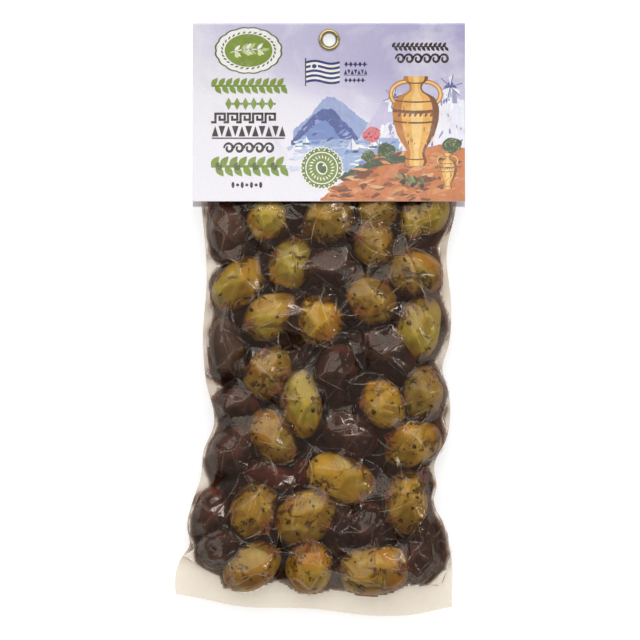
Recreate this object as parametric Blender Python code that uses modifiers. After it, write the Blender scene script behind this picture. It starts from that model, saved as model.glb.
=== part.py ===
"""Vacuum pouch of whole olives, with a folded header card held by a brass eyelet.

The pouch lies on its back on z = 0, shown side up, with the header card towards +Y.
The origin is below the middle of the whole, on the surface that it lies on.
Sizes are written in millimetres and turned into metres where a mesh is made.
"""
import math

import bmesh
import bpy
import numpy as np

MM = 0.001

# Gap between pieces that touch.
GAP = 0.3

# Header card: one strip of card, folded over the top of the pouch.
CARD_WIDTH = 130.0
CARD_LEFT = -60.8
CARD_PANEL = 86.8
CARD_THICKNESS = 0.4
FOLD_Y = 141.5
CARD_EDGE_Z = 19.3
RAMP_START_Y = 120.0
RAMP_END_Y = 56.0
BACK_RISE_START_Y = 108.0

# Eyelet through both panels and the film between them.
EYELET_X = 4.4
EYELET_Y = 133.5
STACK_Z = 2.4
BORE_RADIUS = 2.95
FUNNEL_RADIUS = 3.4
BARREL_RADIUS = 3.65
FRONT_FLANGE_RADIUS = 5.1
BACK_FLANGE_RADIUS = 4.8
FLANGE_RISE = 0.8
BACK_FLANGE_RISE = 0.48
CLEARANCE_DEPTH = 9.6
EYELET_STEPS = 32

# Film: thickness of the two layers sealed together, and the seams round the olives.
FILM_THICKNESS = 0.4
FILM_TOP_Y = 139.6
SIDE_SEAM = 2.2
BOTTOM_SEAM = 6.4
TOP_SEAM_Y = 74.0
FILM_LEVEL_Y = 104.0
SEAM_Z = 9.6
SEAM_RIPPLE = 0.7
SEAM_RIPPLE_LENGTH = 41.0
SEAM_RIPPLE_SKEW = 25.0
BOTTOM_DROOP = 4.5
BOTTOM_DROOP_Y = -112.0
BOTTOM_DROOP_SPAN = 30.0
CORNER_DROOP = 2.0
CORNER_DROOP_X = -45.0
CORNER_DROOP_SPAN = 24.0

# Mesh cells over the olives and over the flat film under the card.
CELL = 3.6
HEADER_CELL = 9.0

# Side edges of the film, as (y, x) from the top down, and the bottom edge as (share of width, y).
LEFT_EDGE = [(139.6, -59.0), (80.0, -59.0), (51.0, -56.2), (22.0, -54.0), (-12.0, -55.8), (-29.0, -54.4),
             (-50.0, -50.6), (-63.0, -55.6), (-75.0, -56.8), (-87.0, -60.8), (-98.0, -63.4),
             (-108.0, -62.4), (-115.0, -66.8), (-126.0, -69.2), (-131.0, -68.8)]
RIGHT_EDGE = [(139.6, 67.4), (80.0, 67.4), (51.0, 64.4), (34.0, 60.6), (5.0, 62.6), (-12.0, 61.4),
              (-23.0, 58.4), (-35.0, 61.4), (-57.0, 60.2), (-69.0, 54.6), (-80.0, 55.6), (-86.0, 54.2),
              (-98.0, 59.2), (-109.0, 62.0), (-137.0, 63.0)]
BOTTOM_EDGE = [(0.0, -131.0), (0.1, -133.3), (0.2, -136.2), (0.5, -138.1), (0.72, -141.4),
               (0.82, -141.4), (1.0, -137.0)]

# Olives as they lie: x, y, length, width, and turn of the long axis in degrees from +X.
GREEN_OLIVES = [
    (-25, 48, 23, 20, 60), (-14, 27, 27, 21, 70), (4, 48, 28, 23, 20), (26, 36, 23, 21, 90),
    (27, 52, 21, 18, 0), (44, 47, 19, 14, 85), (53, 50, 22, 16, 60), (-39, 17, 29, 21, 52),
    (-24, 2, 29, 22, 38), (0, 0, 25, 22, 80), (44, 23, 29, 23, -20), (24, 10, 27, 24, -45),
    (47, -4, 31, 22, 76), (-25, -25, 27, 22, 60), (-9, -40, 33, 19, 95), (-23, -56, 29, 22, -58),
    (30, -40, 27, 22, -58), (48.5, -35, 26, 21, 80), (43.5, -59, 29, 23, 20), (10, -76, 34, 23, -22),
    (41, -87, 31, 22, 87), (-31, -91, 29, 24, 68), (-7, -94, 31, 25, 33), (-32, -117, 30, 22, 35),
    (-5, -117.5, 26, 23, 68), (26, -119, 35, 24, 8),
]
DARK_OLIVES = [
    (-43.5, 42, 29, 19, 92), (5, 24, 28, 22, -15), (-44.5, -13, 30, 18, 95), (8, -25, 27, 21, 80),
    (34, -18, 35, 22, -50), (15, -56, 29, 22, -20), (-39.5, -41, 21, 18, 10), (-41, -63, 28, 23, 45),
    (-25, -74, 31, 16, -15), (-51, -94, 28, 18, 80), (-47, -109, 23, 19, 40), (9, -100, 27, 17, 75),
    (23, -99, 25, 20, 85), (47, -113, 27, 18, 85), (50.5, -104, 31, 12, -72),
]
# Dark olives that lie lower and show only between the others.
DEEP_OLIVES = [
    (-40, -23, 19, 14, 20), (-5, -16, 19, 14, 60), (10, -40, 20, 16, 90), (18, -10, 17, 14, 70),
    (47, -79, 22, 12, 80), (-9, -72, 21, 14, 80),
]
TOP_BASE = 12.4
TOP_PER_WIDTH = 0.37
DEEP_TOP = 14.5
PRESSED_FLAT = 0.5

# Field on which the film is drawn down over the olives by the vacuum.
FIELD_STEP = 1.5
FIELD_X = 72.0
FIELD_Y = 144.0
VACUUM_PULL = 0.09
SETTLE_PASSES = 260

# Height that the underside keeps above the back panel of the card.
CARD_LIFT = CARD_THICKNESS + GAP + 0.1
CARD_LIFT_FROM_Y = 46.0
CARD_LIFT_FULL_Y = 52.0


def smooth_step(value):
    """0 to 1 with level ends."""
    t = np.clip(value, 0.0, 1.0)
    return t * t * (3.0 - 2.0 * t)


def smooth_through(stations, at):
    """Smooth curve through (place, value) stations: cubic pieces with matched slopes."""
    order = sorted(stations)
    places = np.array([place for place, _ in order])
    values = np.array([value for _, value in order])
    slopes = np.gradient(values, places)
    at = np.clip(np.asarray(at, dtype=float), places[0], places[-1])
    index = np.clip(np.searchsorted(places, at) - 1, 0, len(places) - 2)
    span = places[index + 1] - places[index]
    t = (at - places[index]) / span
    start = (1.0 + 2.0 * t) * (1.0 - t) ** 2 * values[index] + t * (1.0 - t) ** 2 * span * slopes[index]
    end = t * t * (3.0 - 2.0 * t) * values[index + 1] + t * t * (t - 1.0) * span * slopes[index + 1]
    return start + end


def seam_height(x, y):
    """Height of the sealed film: level with the olives' middles, low under the card and at the end."""
    ripple = SEAM_RIPPLE * np.sin(2.0 * math.pi * y / SEAM_RIPPLE_LENGTH + x / SEAM_RIPPLE_SKEW)
    open_part = smooth_step((FILM_LEVEL_Y - y) / (FILM_LEVEL_Y - TOP_SEAM_Y))
    end_part = smooth_step((BOTTOM_DROOP_Y - y) / BOTTOM_DROOP_SPAN)
    corner_part = smooth_step((CORNER_DROOP_X - x) / CORNER_DROOP_SPAN) * end_part
    middle = STACK_Z + (SEAM_Z - STACK_Z) * open_part - BOTTOM_DROOP * end_part
    return middle - CORNER_DROOP * corner_part + ripple * open_part


def olive_cap(x, y, olive, top):
    """Upper and lower height of one olive at x, y, and where it is."""
    centre_x, centre_y, length, width, turn = olive
    angle = math.radians(turn)
    along = (x - centre_x) * math.cos(angle) + (y - centre_y) * math.sin(angle)
    across = (y - centre_y) * math.cos(angle) - (x - centre_x) * math.sin(angle)
    reach = (2.0 * along / length) ** 2 + (2.0 * across / width) ** 2
    half = (top + PRESSED_FLAT) / 2.0
    middle = top - half
    dome = half * np.sqrt(np.clip(1.0 - reach, 0.0, 1.0))
    return middle + dome, np.maximum(middle - dome, 0.0), reach < 1.0


def olive_surfaces(x, y):
    """Highest and lowest olive surface at each point, and the seam height where there is none."""
    seam = seam_height(x, y)
    upper = seam + FILM_THICKNESS / 2.0
    lower = seam - FILM_THICKNESS / 2.0
    rows = [(olive, TOP_BASE + TOP_PER_WIDTH * olive[3]) for olive in GREEN_OLIVES + DARK_OLIVES]
    rows += [(olive, DEEP_TOP) for olive in DEEP_OLIVES]
    for olive, top in rows:
        cap, base, inside = olive_cap(x, y, olive, top)
        upper = np.where(inside, np.maximum(upper, cap), upper)
        lower = np.where(inside, np.minimum(lower, base), lower)
    return upper, lower


def settle(stop, free):
    """Film pulled down by the vacuum, between its neighbours, as far as what it meets."""
    film = stop.copy()
    for _ in range(SETTLE_PASSES):
        mean = (np.roll(film, 1, 0) + np.roll(film, -1, 0) + np.roll(film, 1, 1) + np.roll(film, -1, 1)) / 4.0
        film = np.where(free, np.maximum(stop, mean - VACUUM_PULL), stop)
    return film


def film_fields():
    """Upper and lower film heights on a regular field over the pouch."""
    xs = np.arange(-FIELD_X, FIELD_X + FIELD_STEP, FIELD_STEP)
    ys = np.arange(-FIELD_Y, FIELD_Y + FIELD_STEP, FIELD_STEP)
    y, x = np.meshgrid(ys, xs, indexing="ij")
    upper, lower = olive_surfaces(x, y)
    left = smooth_through(LEFT_EDGE, y)
    right = smooth_through(RIGHT_EDGE, y)
    bottom = smooth_through(BOTTOM_EDGE, (x - left) / (right - left))
    free = (x > left + SIDE_SEAM) & (x < right - SIDE_SEAM)
    free &= (y > bottom + BOTTOM_SEAM) & (y < TOP_SEAM_Y)
    seam = seam_height(x, y)
    upper = np.where(free, upper, seam + FILM_THICKNESS / 2.0)
    lower = np.where(free, lower, seam - FILM_THICKNESS / 2.0)
    return xs, ys, settle(upper, free), -settle(-lower, free)


def read_field(field, xs, ys, x, y):
    """Field value at x, y, between its four nearest points."""
    column = np.clip((x - xs[0]) / FIELD_STEP, 0.0, len(xs) - 1.001)
    row = np.clip((y - ys[0]) / FIELD_STEP, 0.0, len(ys) - 1.001)
    i = row.astype(int)
    j = column.astype(int)
    v = row - i
    u = column - j
    near = field[i, j] * (1.0 - u) + field[i, j + 1] * u
    far = field[i + 1, j] * (1.0 - u) + field[i + 1, j + 1] * u
    return near * (1.0 - v) + far * v


def pouch_grid():
    """Rows and columns of film points: x, y and both heights, closed all round at the seams."""
    header_rows = round((FILM_TOP_Y - TOP_SEAM_Y) / HEADER_CELL)
    bottom_y = min(y for _, y in BOTTOM_EDGE)
    olive_rows = round((TOP_SEAM_Y - bottom_y) / CELL)
    header_share = (FILM_TOP_Y - TOP_SEAM_Y) / (FILM_TOP_Y - bottom_y)
    down = np.concatenate([np.linspace(0.0, header_share, header_rows, endpoint=False),
                           np.linspace(header_share, 1.0, olive_rows + 1)])
    width = CARD_WIDTH - 2.0 * SIDE_SEAM
    columns = round(width / CELL)
    strip = SIDE_SEAM / CARD_WIDTH
    across = np.concatenate([[0.0], np.linspace(strip, 1.0 - strip, columns), [1.0]])
    t, s = np.meshgrid(down, across, indexing="ij")
    left_y = FILM_TOP_Y + (BOTTOM_EDGE[0][1] - FILM_TOP_Y) * t
    right_y = FILM_TOP_Y + (BOTTOM_EDGE[-1][1] - FILM_TOP_Y) * t
    left = smooth_through(LEFT_EDGE, left_y)
    right = smooth_through(RIGHT_EDGE, right_y)
    x = left + (right - left) * s
    y = FILM_TOP_Y + (smooth_through(BOTTOM_EDGE, s) - FILM_TOP_Y) * t
    xs, ys, upper, lower = film_fields()
    top = read_field(upper, xs, ys, x, y)
    under = read_field(lower, xs, ys, x, y)
    lift = CARD_LIFT * smooth_step((y - CARD_LIFT_FROM_Y) / (CARD_LIFT_FULL_Y - CARD_LIFT_FROM_Y))
    under = np.maximum(under, lift)
    under = np.minimum(under, top - FILM_THICKNESS)
    return x, y, top, under


def new_object(name, mesh, collection, material=None):
    """Object of its own in a collection, with its material."""
    piece = bpy.data.objects.new(name, mesh)
    collection.objects.link(piece)
    if material:
        piece.data.materials.append(material)
    return piece


def finish_material(name, colour, roughness, metallic=0.0, alpha=1.0):
    """Principled material with its own colour and gloss."""
    material = bpy.data.materials.new(name)
    material.use_nodes = True
    shader = material.node_tree.nodes["Principled BSDF"]
    shader.inputs["Base Color"].default_value = (*colour, 1.0)
    shader.inputs["Roughness"].default_value = roughness
    shader.inputs["Metallic"].default_value = metallic
    shader.inputs["Alpha"].default_value = alpha
    return material


def round_shading(mesh, angle_degrees):
    """Smooth shading with sharp edges above the given angle."""
    mesh.shade_smooth()
    mesh.set_sharp_from_angle(angle=math.radians(angle_degrees))


def cut_through(piece, cutter):
    """Boolean cut of the piece by the cutter."""
    cut = piece.modifiers.new("hole", "BOOLEAN")
    cut.operation = "DIFFERENCE"
    cut.solver = "EXACT"
    cut.object = cutter


def hole_cutter(collection):
    """Cylinder that clears the eyelet's barrel through the card and the film."""
    mesh = bpy.data.meshes.new("barrel_clearance")
    shape = bmesh.new()
    radius = (BARREL_RADIUS + GAP) / math.cos(math.pi / EYELET_STEPS) * MM
    bmesh.ops.create_cone(shape, cap_ends=True, segments=EYELET_STEPS, radius1=radius, radius2=radius,
                          depth=CLEARANCE_DEPTH * MM)
    shape.to_mesh(mesh)
    shape.free()
    cutter = new_object("barrel_clearance", mesh, collection)
    cutter.location = (EYELET_X * MM, EYELET_Y * MM, STACK_Z * MM)
    cutter.hide_render = True
    cutter.display_type = "WIRE"
    return cutter


def make_pouch(collection, cutter):
    """Sealed pouch: film drawn over the olives on both sides, flat seams round them."""
    x, y, top, under = pouch_grid()
    rows, columns = x.shape
    shape = bmesh.new()

    def layer(height):
        return [[shape.verts.new((x[i, j] * MM, y[i, j] * MM, height[i, j] * MM)) for j in range(columns)]
                for i in range(rows)]

    upper = layer(top)
    lower = layer(under)
    for i in range(rows - 1):
        for j in range(columns - 1):
            shape.faces.new((upper[i][j], upper[i + 1][j], upper[i + 1][j + 1], upper[i][j + 1]))
            shape.faces.new((lower[i][j], lower[i][j + 1], lower[i + 1][j + 1], lower[i + 1][j]))
    for i in range(rows - 1):
        shape.faces.new((upper[i][0], lower[i][0], lower[i + 1][0], upper[i + 1][0]))
        shape.faces.new((upper[i][-1], upper[i + 1][-1], lower[i + 1][-1], lower[i][-1]))
    for j in range(columns - 1):
        shape.faces.new((upper[0][j], upper[0][j + 1], lower[0][j + 1], lower[0][j]))
        shape.faces.new((upper[-1][j], lower[-1][j], lower[-1][j + 1], upper[-1][j + 1]))
    bmesh.ops.recalc_face_normals(shape, faces=shape.faces)
    mesh = bpy.data.meshes.new("pouch")
    shape.to_mesh(mesh)
    shape.free()
    round_shading(mesh, 60.0)
    pouch = new_object("pouch", mesh, collection, finish_material("olive_film", (0.24, 0.2, 0.08), 0.2))
    cut_through(pouch, cutter)
    return pouch


def front_height(y):
    """Middle of the front panel: level at the eyelet, then bent up over the olives like a springy strip."""
    level = STACK_Z + FILM_THICKNESS / 2.0 + GAP + CARD_THICKNESS / 2.0
    share = max(0.0, (RAMP_START_Y - y) / (RAMP_START_Y - RAMP_END_Y))
    return level + (CARD_EDGE_Z - level) * (3.0 * share ** 2 - share ** 3) / 2.0


def back_height(y):
    """Middle of the back panel: raised at the eyelet and flat on the surface elsewhere."""
    raised = STACK_Z - FILM_THICKNESS / 2.0 - GAP - CARD_THICKNESS / 2.0
    share = float(smooth_step((y - BACK_RISE_START_Y) / (EYELET_Y - BACK_FLANGE_RADIUS - BACK_RISE_START_Y)))
    return CARD_THICKNESS / 2.0 + (raised - CARD_THICKNESS / 2.0) * share


def walk_panel(height, start_y, steps):
    """Points (y, z) down a panel at equal steps along the card."""
    points = [(start_y, height(start_y))]
    step = CARD_PANEL / steps
    for _ in range(steps):
        y, z = points[-1]
        slope = (height(y - step) - z) / step
        y -= step / math.hypot(1.0, slope)
        points.append((y, height(y)))
    return points


def make_header_card(collection, cutter):
    """Card strip from the front edge up over the fold and down the back, given its thickness."""
    fold_radius = FILM_THICKNESS / 2.0 + GAP + CARD_THICKNESS / 2.0
    fold_start = FOLD_Y - CARD_THICKNESS / 2.0 - fold_radius
    panel_steps = 26
    fold_steps = 6
    front = walk_panel(front_height, fold_start, panel_steps)
    back = walk_panel(back_height, fold_start, panel_steps)
    fold = []
    for k in range(1, fold_steps):
        angle = math.pi / 2.0 - math.pi * k / fold_steps
        fold.append((fold_start + fold_radius * math.cos(angle), STACK_Z + fold_radius * math.sin(angle)))
    profile = front[::-1] + fold + back
    shape = bmesh.new()
    columns = []
    for x in (CARD_LEFT, CARD_LEFT + CARD_WIDTH):
        columns.append([shape.verts.new((x * MM, y * MM, z * MM)) for y, z in profile])
    for k in range(len(profile) - 1):
        shape.faces.new((columns[0][k], columns[1][k], columns[1][k + 1], columns[0][k + 1]))
    mesh = bpy.data.meshes.new("header_card")
    shape.to_mesh(mesh)
    shape.free()
    round_shading(mesh, 30.0)
    card = new_object("header_card", mesh, collection, finish_material("printed_card", (0.78, 0.72, 0.78), 0.45))
    thicken = card.modifiers.new("card_thickness", "SOLIDIFY")
    thicken.thickness = CARD_THICKNESS * MM
    thicken.offset = 0.0
    thicken.use_even_offset = True
    cut_through(card, cutter)
    return card


def eyelet_profile():
    """Section of the eyelet as (radius, height): rolled front flange, barrel, back flange, and the funnel
    that narrows from the front to the bore."""
    grip = FILM_THICKNESS / 2.0 + GAP + CARD_THICKNESS + GAP
    steps = 6
    points = []
    front_middle = (FUNNEL_RADIUS + FRONT_FLANGE_RADIUS) / 2.0
    front_half = (FRONT_FLANGE_RADIUS - FUNNEL_RADIUS) / 2.0
    for k in range(steps + 1):
        angle = math.pi * (1.0 - k / steps)
        points.append((front_middle + front_half * math.cos(angle), grip + FLANGE_RISE * math.sin(angle)))
    points.append((BARREL_RADIUS, grip))
    points.append((BARREL_RADIUS, -grip))
    back_middle = (BORE_RADIUS + BACK_FLANGE_RADIUS) / 2.0
    back_half = (BACK_FLANGE_RADIUS - BORE_RADIUS) / 2.0
    for k in range(steps + 1):
        angle = math.pi * k / steps
        points.append((back_middle + back_half * math.cos(angle), -grip - BACK_FLANGE_RISE * math.sin(angle)))
    return points


def make_eyelet(collection):
    """Turned brass eyelet, its origin on its axis in the middle of the film."""
    points = eyelet_profile()
    mesh = bpy.data.meshes.new("eyelet")
    edges = [(k, (k + 1) % len(points)) for k in range(len(points))]
    mesh.from_pydata([(radius * MM, 0.0, height * MM) for radius, height in points], edges, [])
    eyelet = new_object("eyelet", mesh, collection, finish_material("brass", (0.72, 0.52, 0.2), 0.3, metallic=1.0))
    eyelet.location = (EYELET_X * MM, EYELET_Y * MM, STACK_Z * MM)
    turn = eyelet.modifiers.new("turned", "SCREW")
    turn.angle = 2.0 * math.pi
    turn.steps = EYELET_STEPS
    turn.render_steps = EYELET_STEPS
    turn.use_merge_vertices = True
    turn.merge_threshold = 0.00001
    turn.use_smooth_shade = True
    return eyelet


def main():
    """Clear the scene and build the pouch, its card and its eyelet."""
    for old in list(bpy.data.objects):
        bpy.data.objects.remove(old, do_unlink=True)
    parts = bpy.data.collections.new("olive_pouch")
    cutters = bpy.data.collections.new("cutters")
    bpy.context.scene.collection.children.link(parts)
    bpy.context.scene.collection.children.link(cutters)
    cutter = hole_cutter(cutters)
    make_pouch(parts, cutter)
    make_header_card(parts, cutter)
    make_eyelet(parts)


main()
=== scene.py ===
"""Looks of the olive pouch: film, olives, juice and herbs in place of the solid pouch, and the card's print.

Lengths are in millimetres until a mesh is made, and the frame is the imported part's own.
"""

import math

import bmesh
import bpy
import numpy as np
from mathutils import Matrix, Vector
from mathutils.geometry import delaunay_2d_cdt, tessellate_polygon


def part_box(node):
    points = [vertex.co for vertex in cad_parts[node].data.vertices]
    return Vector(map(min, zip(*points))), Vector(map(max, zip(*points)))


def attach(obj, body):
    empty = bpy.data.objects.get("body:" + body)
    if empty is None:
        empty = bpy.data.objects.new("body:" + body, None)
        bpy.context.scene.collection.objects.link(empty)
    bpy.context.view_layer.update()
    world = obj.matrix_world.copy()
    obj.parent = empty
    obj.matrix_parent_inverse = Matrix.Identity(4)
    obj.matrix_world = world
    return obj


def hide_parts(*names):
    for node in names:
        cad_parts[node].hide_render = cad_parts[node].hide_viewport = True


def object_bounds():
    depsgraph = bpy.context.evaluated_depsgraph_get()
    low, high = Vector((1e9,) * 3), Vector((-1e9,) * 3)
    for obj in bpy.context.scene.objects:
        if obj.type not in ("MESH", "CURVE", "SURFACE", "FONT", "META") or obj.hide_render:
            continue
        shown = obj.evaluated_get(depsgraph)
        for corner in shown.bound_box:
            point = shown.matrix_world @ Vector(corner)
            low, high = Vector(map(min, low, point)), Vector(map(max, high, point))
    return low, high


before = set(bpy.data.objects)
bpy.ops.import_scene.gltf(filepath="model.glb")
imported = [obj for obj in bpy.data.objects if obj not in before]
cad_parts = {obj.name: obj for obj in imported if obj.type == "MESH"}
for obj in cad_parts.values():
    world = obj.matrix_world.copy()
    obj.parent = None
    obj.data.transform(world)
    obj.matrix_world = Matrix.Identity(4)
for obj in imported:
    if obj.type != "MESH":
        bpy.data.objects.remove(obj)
CAD_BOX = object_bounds()

MM = 0.001
SEED = 11
TURN = 2.0 * math.pi

# Outline of the film, as the solid pouch has it: (y, x) down each side, (share of width, y) at the bottom.
FILM_TOP_Y = 139.6
FILM_FOOT_Y = -141.4
FILM_WIDE = 124.0
FILM_THICKNESS = 0.4
SIDE_SEAM = 2.2
BOTTOM_SEAM = 6.4
TOP_SEAM_Y = 74.0
FILM_LEVEL_Y = 104.0
SEAM_Z = 9.6
SEAM_RIPPLE = 0.7
SEAM_RIPPLE_LENGTH = 41.0
SEAM_RIPPLE_SKEW = 25.0
BOTTOM_DROOP = 4.5
BOTTOM_DROOP_Y = -112.0
BOTTOM_DROOP_SPAN = 30.0
CORNER_DROOP = 2.0
CORNER_DROOP_X = -45.0
CORNER_DROOP_SPAN = 24.0
LEFT_EDGE = [(139.6, -59.0), (80.0, -59.0), (51.0, -56.2), (22.0, -54.0), (-12.0, -55.8), (-29.0, -54.4),
             (-50.0, -50.6), (-63.0, -55.6), (-75.0, -56.8), (-87.0, -60.8), (-98.0, -63.4),
             (-108.0, -62.4), (-115.0, -66.8), (-126.0, -69.2), (-131.0, -68.8)]
RIGHT_EDGE = [(139.6, 67.4), (80.0, 67.4), (51.0, 64.4), (34.0, 60.6), (5.0, 62.6), (-12.0, 61.4),
              (-23.0, 58.4), (-35.0, 61.4), (-57.0, 60.2), (-69.0, 54.6), (-80.0, 55.6), (-86.0, 54.2),
              (-98.0, 59.2), (-109.0, 62.0), (-137.0, 63.0)]
BOTTOM_EDGE = [(0.0, -131.0), (0.1, -133.3), (0.2, -136.2), (0.5, -138.1), (0.72, -141.4),
               (0.82, -141.4), (1.0, -137.0)]

# Outline of what the film holds, (x, y) corners anticlockwise: the film is sealed flat outside it.
HELD_OUTLINE = [
    (-54.4, 74.0), (-54.2, 43.2), (-53.1, 30.1), (-46.0, 25.8), (-53.1, 19.5), (-52.6, 12.7), (-50.7, 0.8),
    (-51.9, -7.3), (-53.9, -26.0), (-46.0, -32.3), (-52.8, -37.1), (-49.2, -48.8), (-51.8, -56.6),
    (-56.3, -67.5), (-55.7, -71.7), (-51.8, -80.3), (-57.2, -83.0), (-62.3, -93.1), (-62.7, -103.1),
    (-60.0, -109.1), (-65.5, -112.7), (-60.0, -115.9), (-48.1, -122.3), (-46.3, -128.2), (-36.3, -128.7),
    (-21.7, -124.1), (-5.2, -131.4), (4.9, -129.2), (14.4, -129.6), (20.7, -131.4), (30.8, -131.0),
    (41.7, -125.5), (57.7, -126.9), (63.2, -112.3), (61.8, -107.7), (59.5, -97.2), (55.4, -92.7),
    (53.6, -84.9), (56.0, -77.7), (50.4, -70.3), (56.3, -65.7), (60.4, -58.4), (60.7, -52.2), (58.3, -45.8),
    (61.5, -36.4), (61.5, -32.1), (55.2, -20.5), (62.2, -5.0), (61.9, 0.8), (57.6, 12.7), (57.2, 35.1),
    (64.0, 49.9), (64.2, 74.0),
]

# Olives as they lie: x, y, length, width, turn of the long axis in degrees, and skin tone.
GREEN_OLIVES = [
    (-25, 48, 23, 20, 60, "green"), (-14, 27, 27, 21, 70, "khaki"), (4, 48, 28, 23, 20, "brown"),
    (26, 36, 23, 21, 90, "brown"), (27, 52, 21, 18, 0, "brown"), (44, 47, 19, 14, 85, "green"),
    (53, 50, 22, 16, 60, "green"), (-39, 17, 29, 22, 52, "green"), (-24, 2, 29, 22, 38, "green"),
    (0, 0, 25, 23, 80, "gold"), (44, 23, 29, 23, -20, "brown"), (24, 10, 27, 24, -45, "brown"),
    (47, -4, 31, 22, 76, "green"), (-25, -25, 27, 22, 60, "brown"), (-9, -40, 33, 20, 95, "green"),
    (-23, -56, 29, 22, -58, "brown"), (30, -40, 27, 22, -58, "gold"), (48.5, -35, 26, 21, 80, "brown"),
    (43.5, -59, 29, 23, 20, "amber"), (10, -76, 34, 24, -22, "gold"), (41, -87, 31, 22, 87, "amber"),
    (-31, -91, 29, 24, 68, "amber"), (-7, -94, 32, 26, 33, "amber"), (-32, -117, 30, 22, 35, "amber"),
    (-5, -117.5, 26, 23, 68, "gold"), (26, -119, 35, 24, 8, "amber"),
]
DARK_OLIVES = [
    (-43.5, 42, 29, 19, 92, "grey"), (5, 24, 28, 22, -15, "black"), (-44.5, -13, 30, 18, 95, "grey"),
    (8, -25, 27, 21, 80, "black"), (34, -18, 35, 22, -50, "black"), (15, -56, 29, 22, -20, "purple"),
    (-39.5, -41, 21, 18, 10, "black"), (-41, -63, 28, 23, 45, "purple"), (-25, -74, 31, 16, -15, "wine"),
    (-51, -94, 28, 18, 80, "purple"), (-47, -109, 23, 19, 40, "black"), (9, -100, 27, 17, 75, "purple"),
    (23, -99, 25, 20, 85, "black"), (47, -113, 27, 18, 85, "purple"), (50.5, -104, 31, 12, -72, "black"),
]
DEEP_OLIVES = [
    (-40, -23, 19, 14, 20, "black"), (-5, -16, 19, 14, 60, "black"), (10, -40, 20, 16, 90, "black"),
    (18, -10, 17, 14, 70, "black"), (47, -79, 22, 12, 80, "wine"), (-9, -72, 21, 14, 80, "wine"),
]
TOP_BASE = 12.4
TOP_PER_WIDTH = 0.37
GREEN_PLUMP = 1.045
DEEP_TOP = 14.5
PRESSED_FLAT = 0.5
FILM_ROOM = 0.85

# Skin tones as sRGB, 0 to 255.
TONES = {
    "green": (196, 165, 68),
    "khaki": (214, 182, 86),
    "amber": (186, 140, 52),
    "brown": (170, 130, 58),
    "gold": (210, 160, 56),
    "black": (54, 32, 28),
    "grey": (92, 70, 60),
    "purple": (68, 42, 38),
    "wine": (92, 42, 32),
}

# Header card and eyelet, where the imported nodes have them.
CARD_LOW, CARD_HIGH = (np.array(corner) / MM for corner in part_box("header_card"))
CARD_LEFT = CARD_LOW[0]
CARD_THICKNESS = 0.4
CARD_EDGE_Z = 19.3
RAMP_START_Y = 120.0
RAMP_END_Y = 56.0
STACK_Z = 2.4
GAP = 0.3
CAD_TOP = CAD_BOX[1][2] / MM - 0.25
EYELET_LOW, EYELET_HIGH = (np.array(corner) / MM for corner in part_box("eyelet"))
EYELET_X, EYELET_Y = (EYELET_LOW[:2] + EYELET_HIGH[:2]) / 2.0


def smooth_step(value):
    """0 to 1 with level ends."""
    t = np.clip(value, 0.0, 1.0)
    return t * t * (3.0 - 2.0 * t)


def smooth_through(stations, at):
    """Smooth curve through (place, value) stations: cubic pieces with matched slopes."""
    order = sorted(stations)
    places = np.array([place for place, _ in order])
    values = np.array([value for _, value in order])
    slopes = np.gradient(values, places)
    at = np.clip(np.asarray(at, dtype=float), places[0], places[-1])
    index = np.clip(np.searchsorted(places, at) - 1, 0, len(places) - 2)
    span = places[index + 1] - places[index]
    t = (at - places[index]) / span
    start = (1.0 + 2.0 * t) * (1.0 - t) ** 2 * values[index] + t * (1.0 - t) ** 2 * span * slopes[index]
    end = t * t * (3.0 - 2.0 * t) * values[index + 1] + t * t * (t - 1.0) * span * slopes[index + 1]
    return start + end


def linear(red, green, blue):
    """sRGB 0 to 255 as linear 0 to 1."""
    share = np.array([red, green, blue], dtype=float) / 255.0
    return tuple(np.where(share <= 0.04045, share / 12.92, ((share + 0.055) / 1.055) ** 2.4))


def waves(x, y, seed, low, high, count=7):
    """Smooth random field, about -1 to 1, made of plane waves between two wavelengths."""
    draw = np.random.default_rng(seed)
    total = 0.0
    for _ in range(count):
        angle = draw.uniform(0.0, TURN)
        length = draw.uniform(low, high)
        phase = draw.uniform(0.0, TURN)
        total = total + np.sin(TURN * (x * math.cos(angle) + y * math.sin(angle)) / length + phase)
    return total / math.sqrt(count * 1.2)


def turned(x, y, along, across, angle):
    """Point at x, y moved along and across a line at the given angle."""
    return (x + along * math.cos(angle) - across * math.sin(angle),
            y + along * math.sin(angle) + across * math.cos(angle))


def closed(points):
    """Each point of a closed line with the next one."""
    points = list(points)
    return zip(points, points[1:] + points[:1])


def full_turn(count):
    """Evenly spaced angles of one full turn."""
    return np.linspace(0.0, TURN, count, endpoint=False)


def joined(x, y, z):
    """Three grids of coordinates as one row of points."""
    return np.stack([x, y, z], axis=-1).reshape(-1, 3)


def seam_height(x, y):
    """Height of the sealed film, as in the solid pouch."""
    ripple = SEAM_RIPPLE * np.sin(TURN * y / SEAM_RIPPLE_LENGTH + x / SEAM_RIPPLE_SKEW)
    open_part = smooth_step((FILM_LEVEL_Y - y) / (FILM_LEVEL_Y - TOP_SEAM_Y))
    end_part = smooth_step((BOTTOM_DROOP_Y - y) / BOTTOM_DROOP_SPAN)
    corner_part = smooth_step((CORNER_DROOP_X - x) / CORNER_DROOP_SPAN) * end_part
    middle = STACK_Z + (SEAM_Z - STACK_Z) * open_part - BOTTOM_DROOP * end_part
    return middle - CORNER_DROOP * corner_part + ripple * open_part


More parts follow.
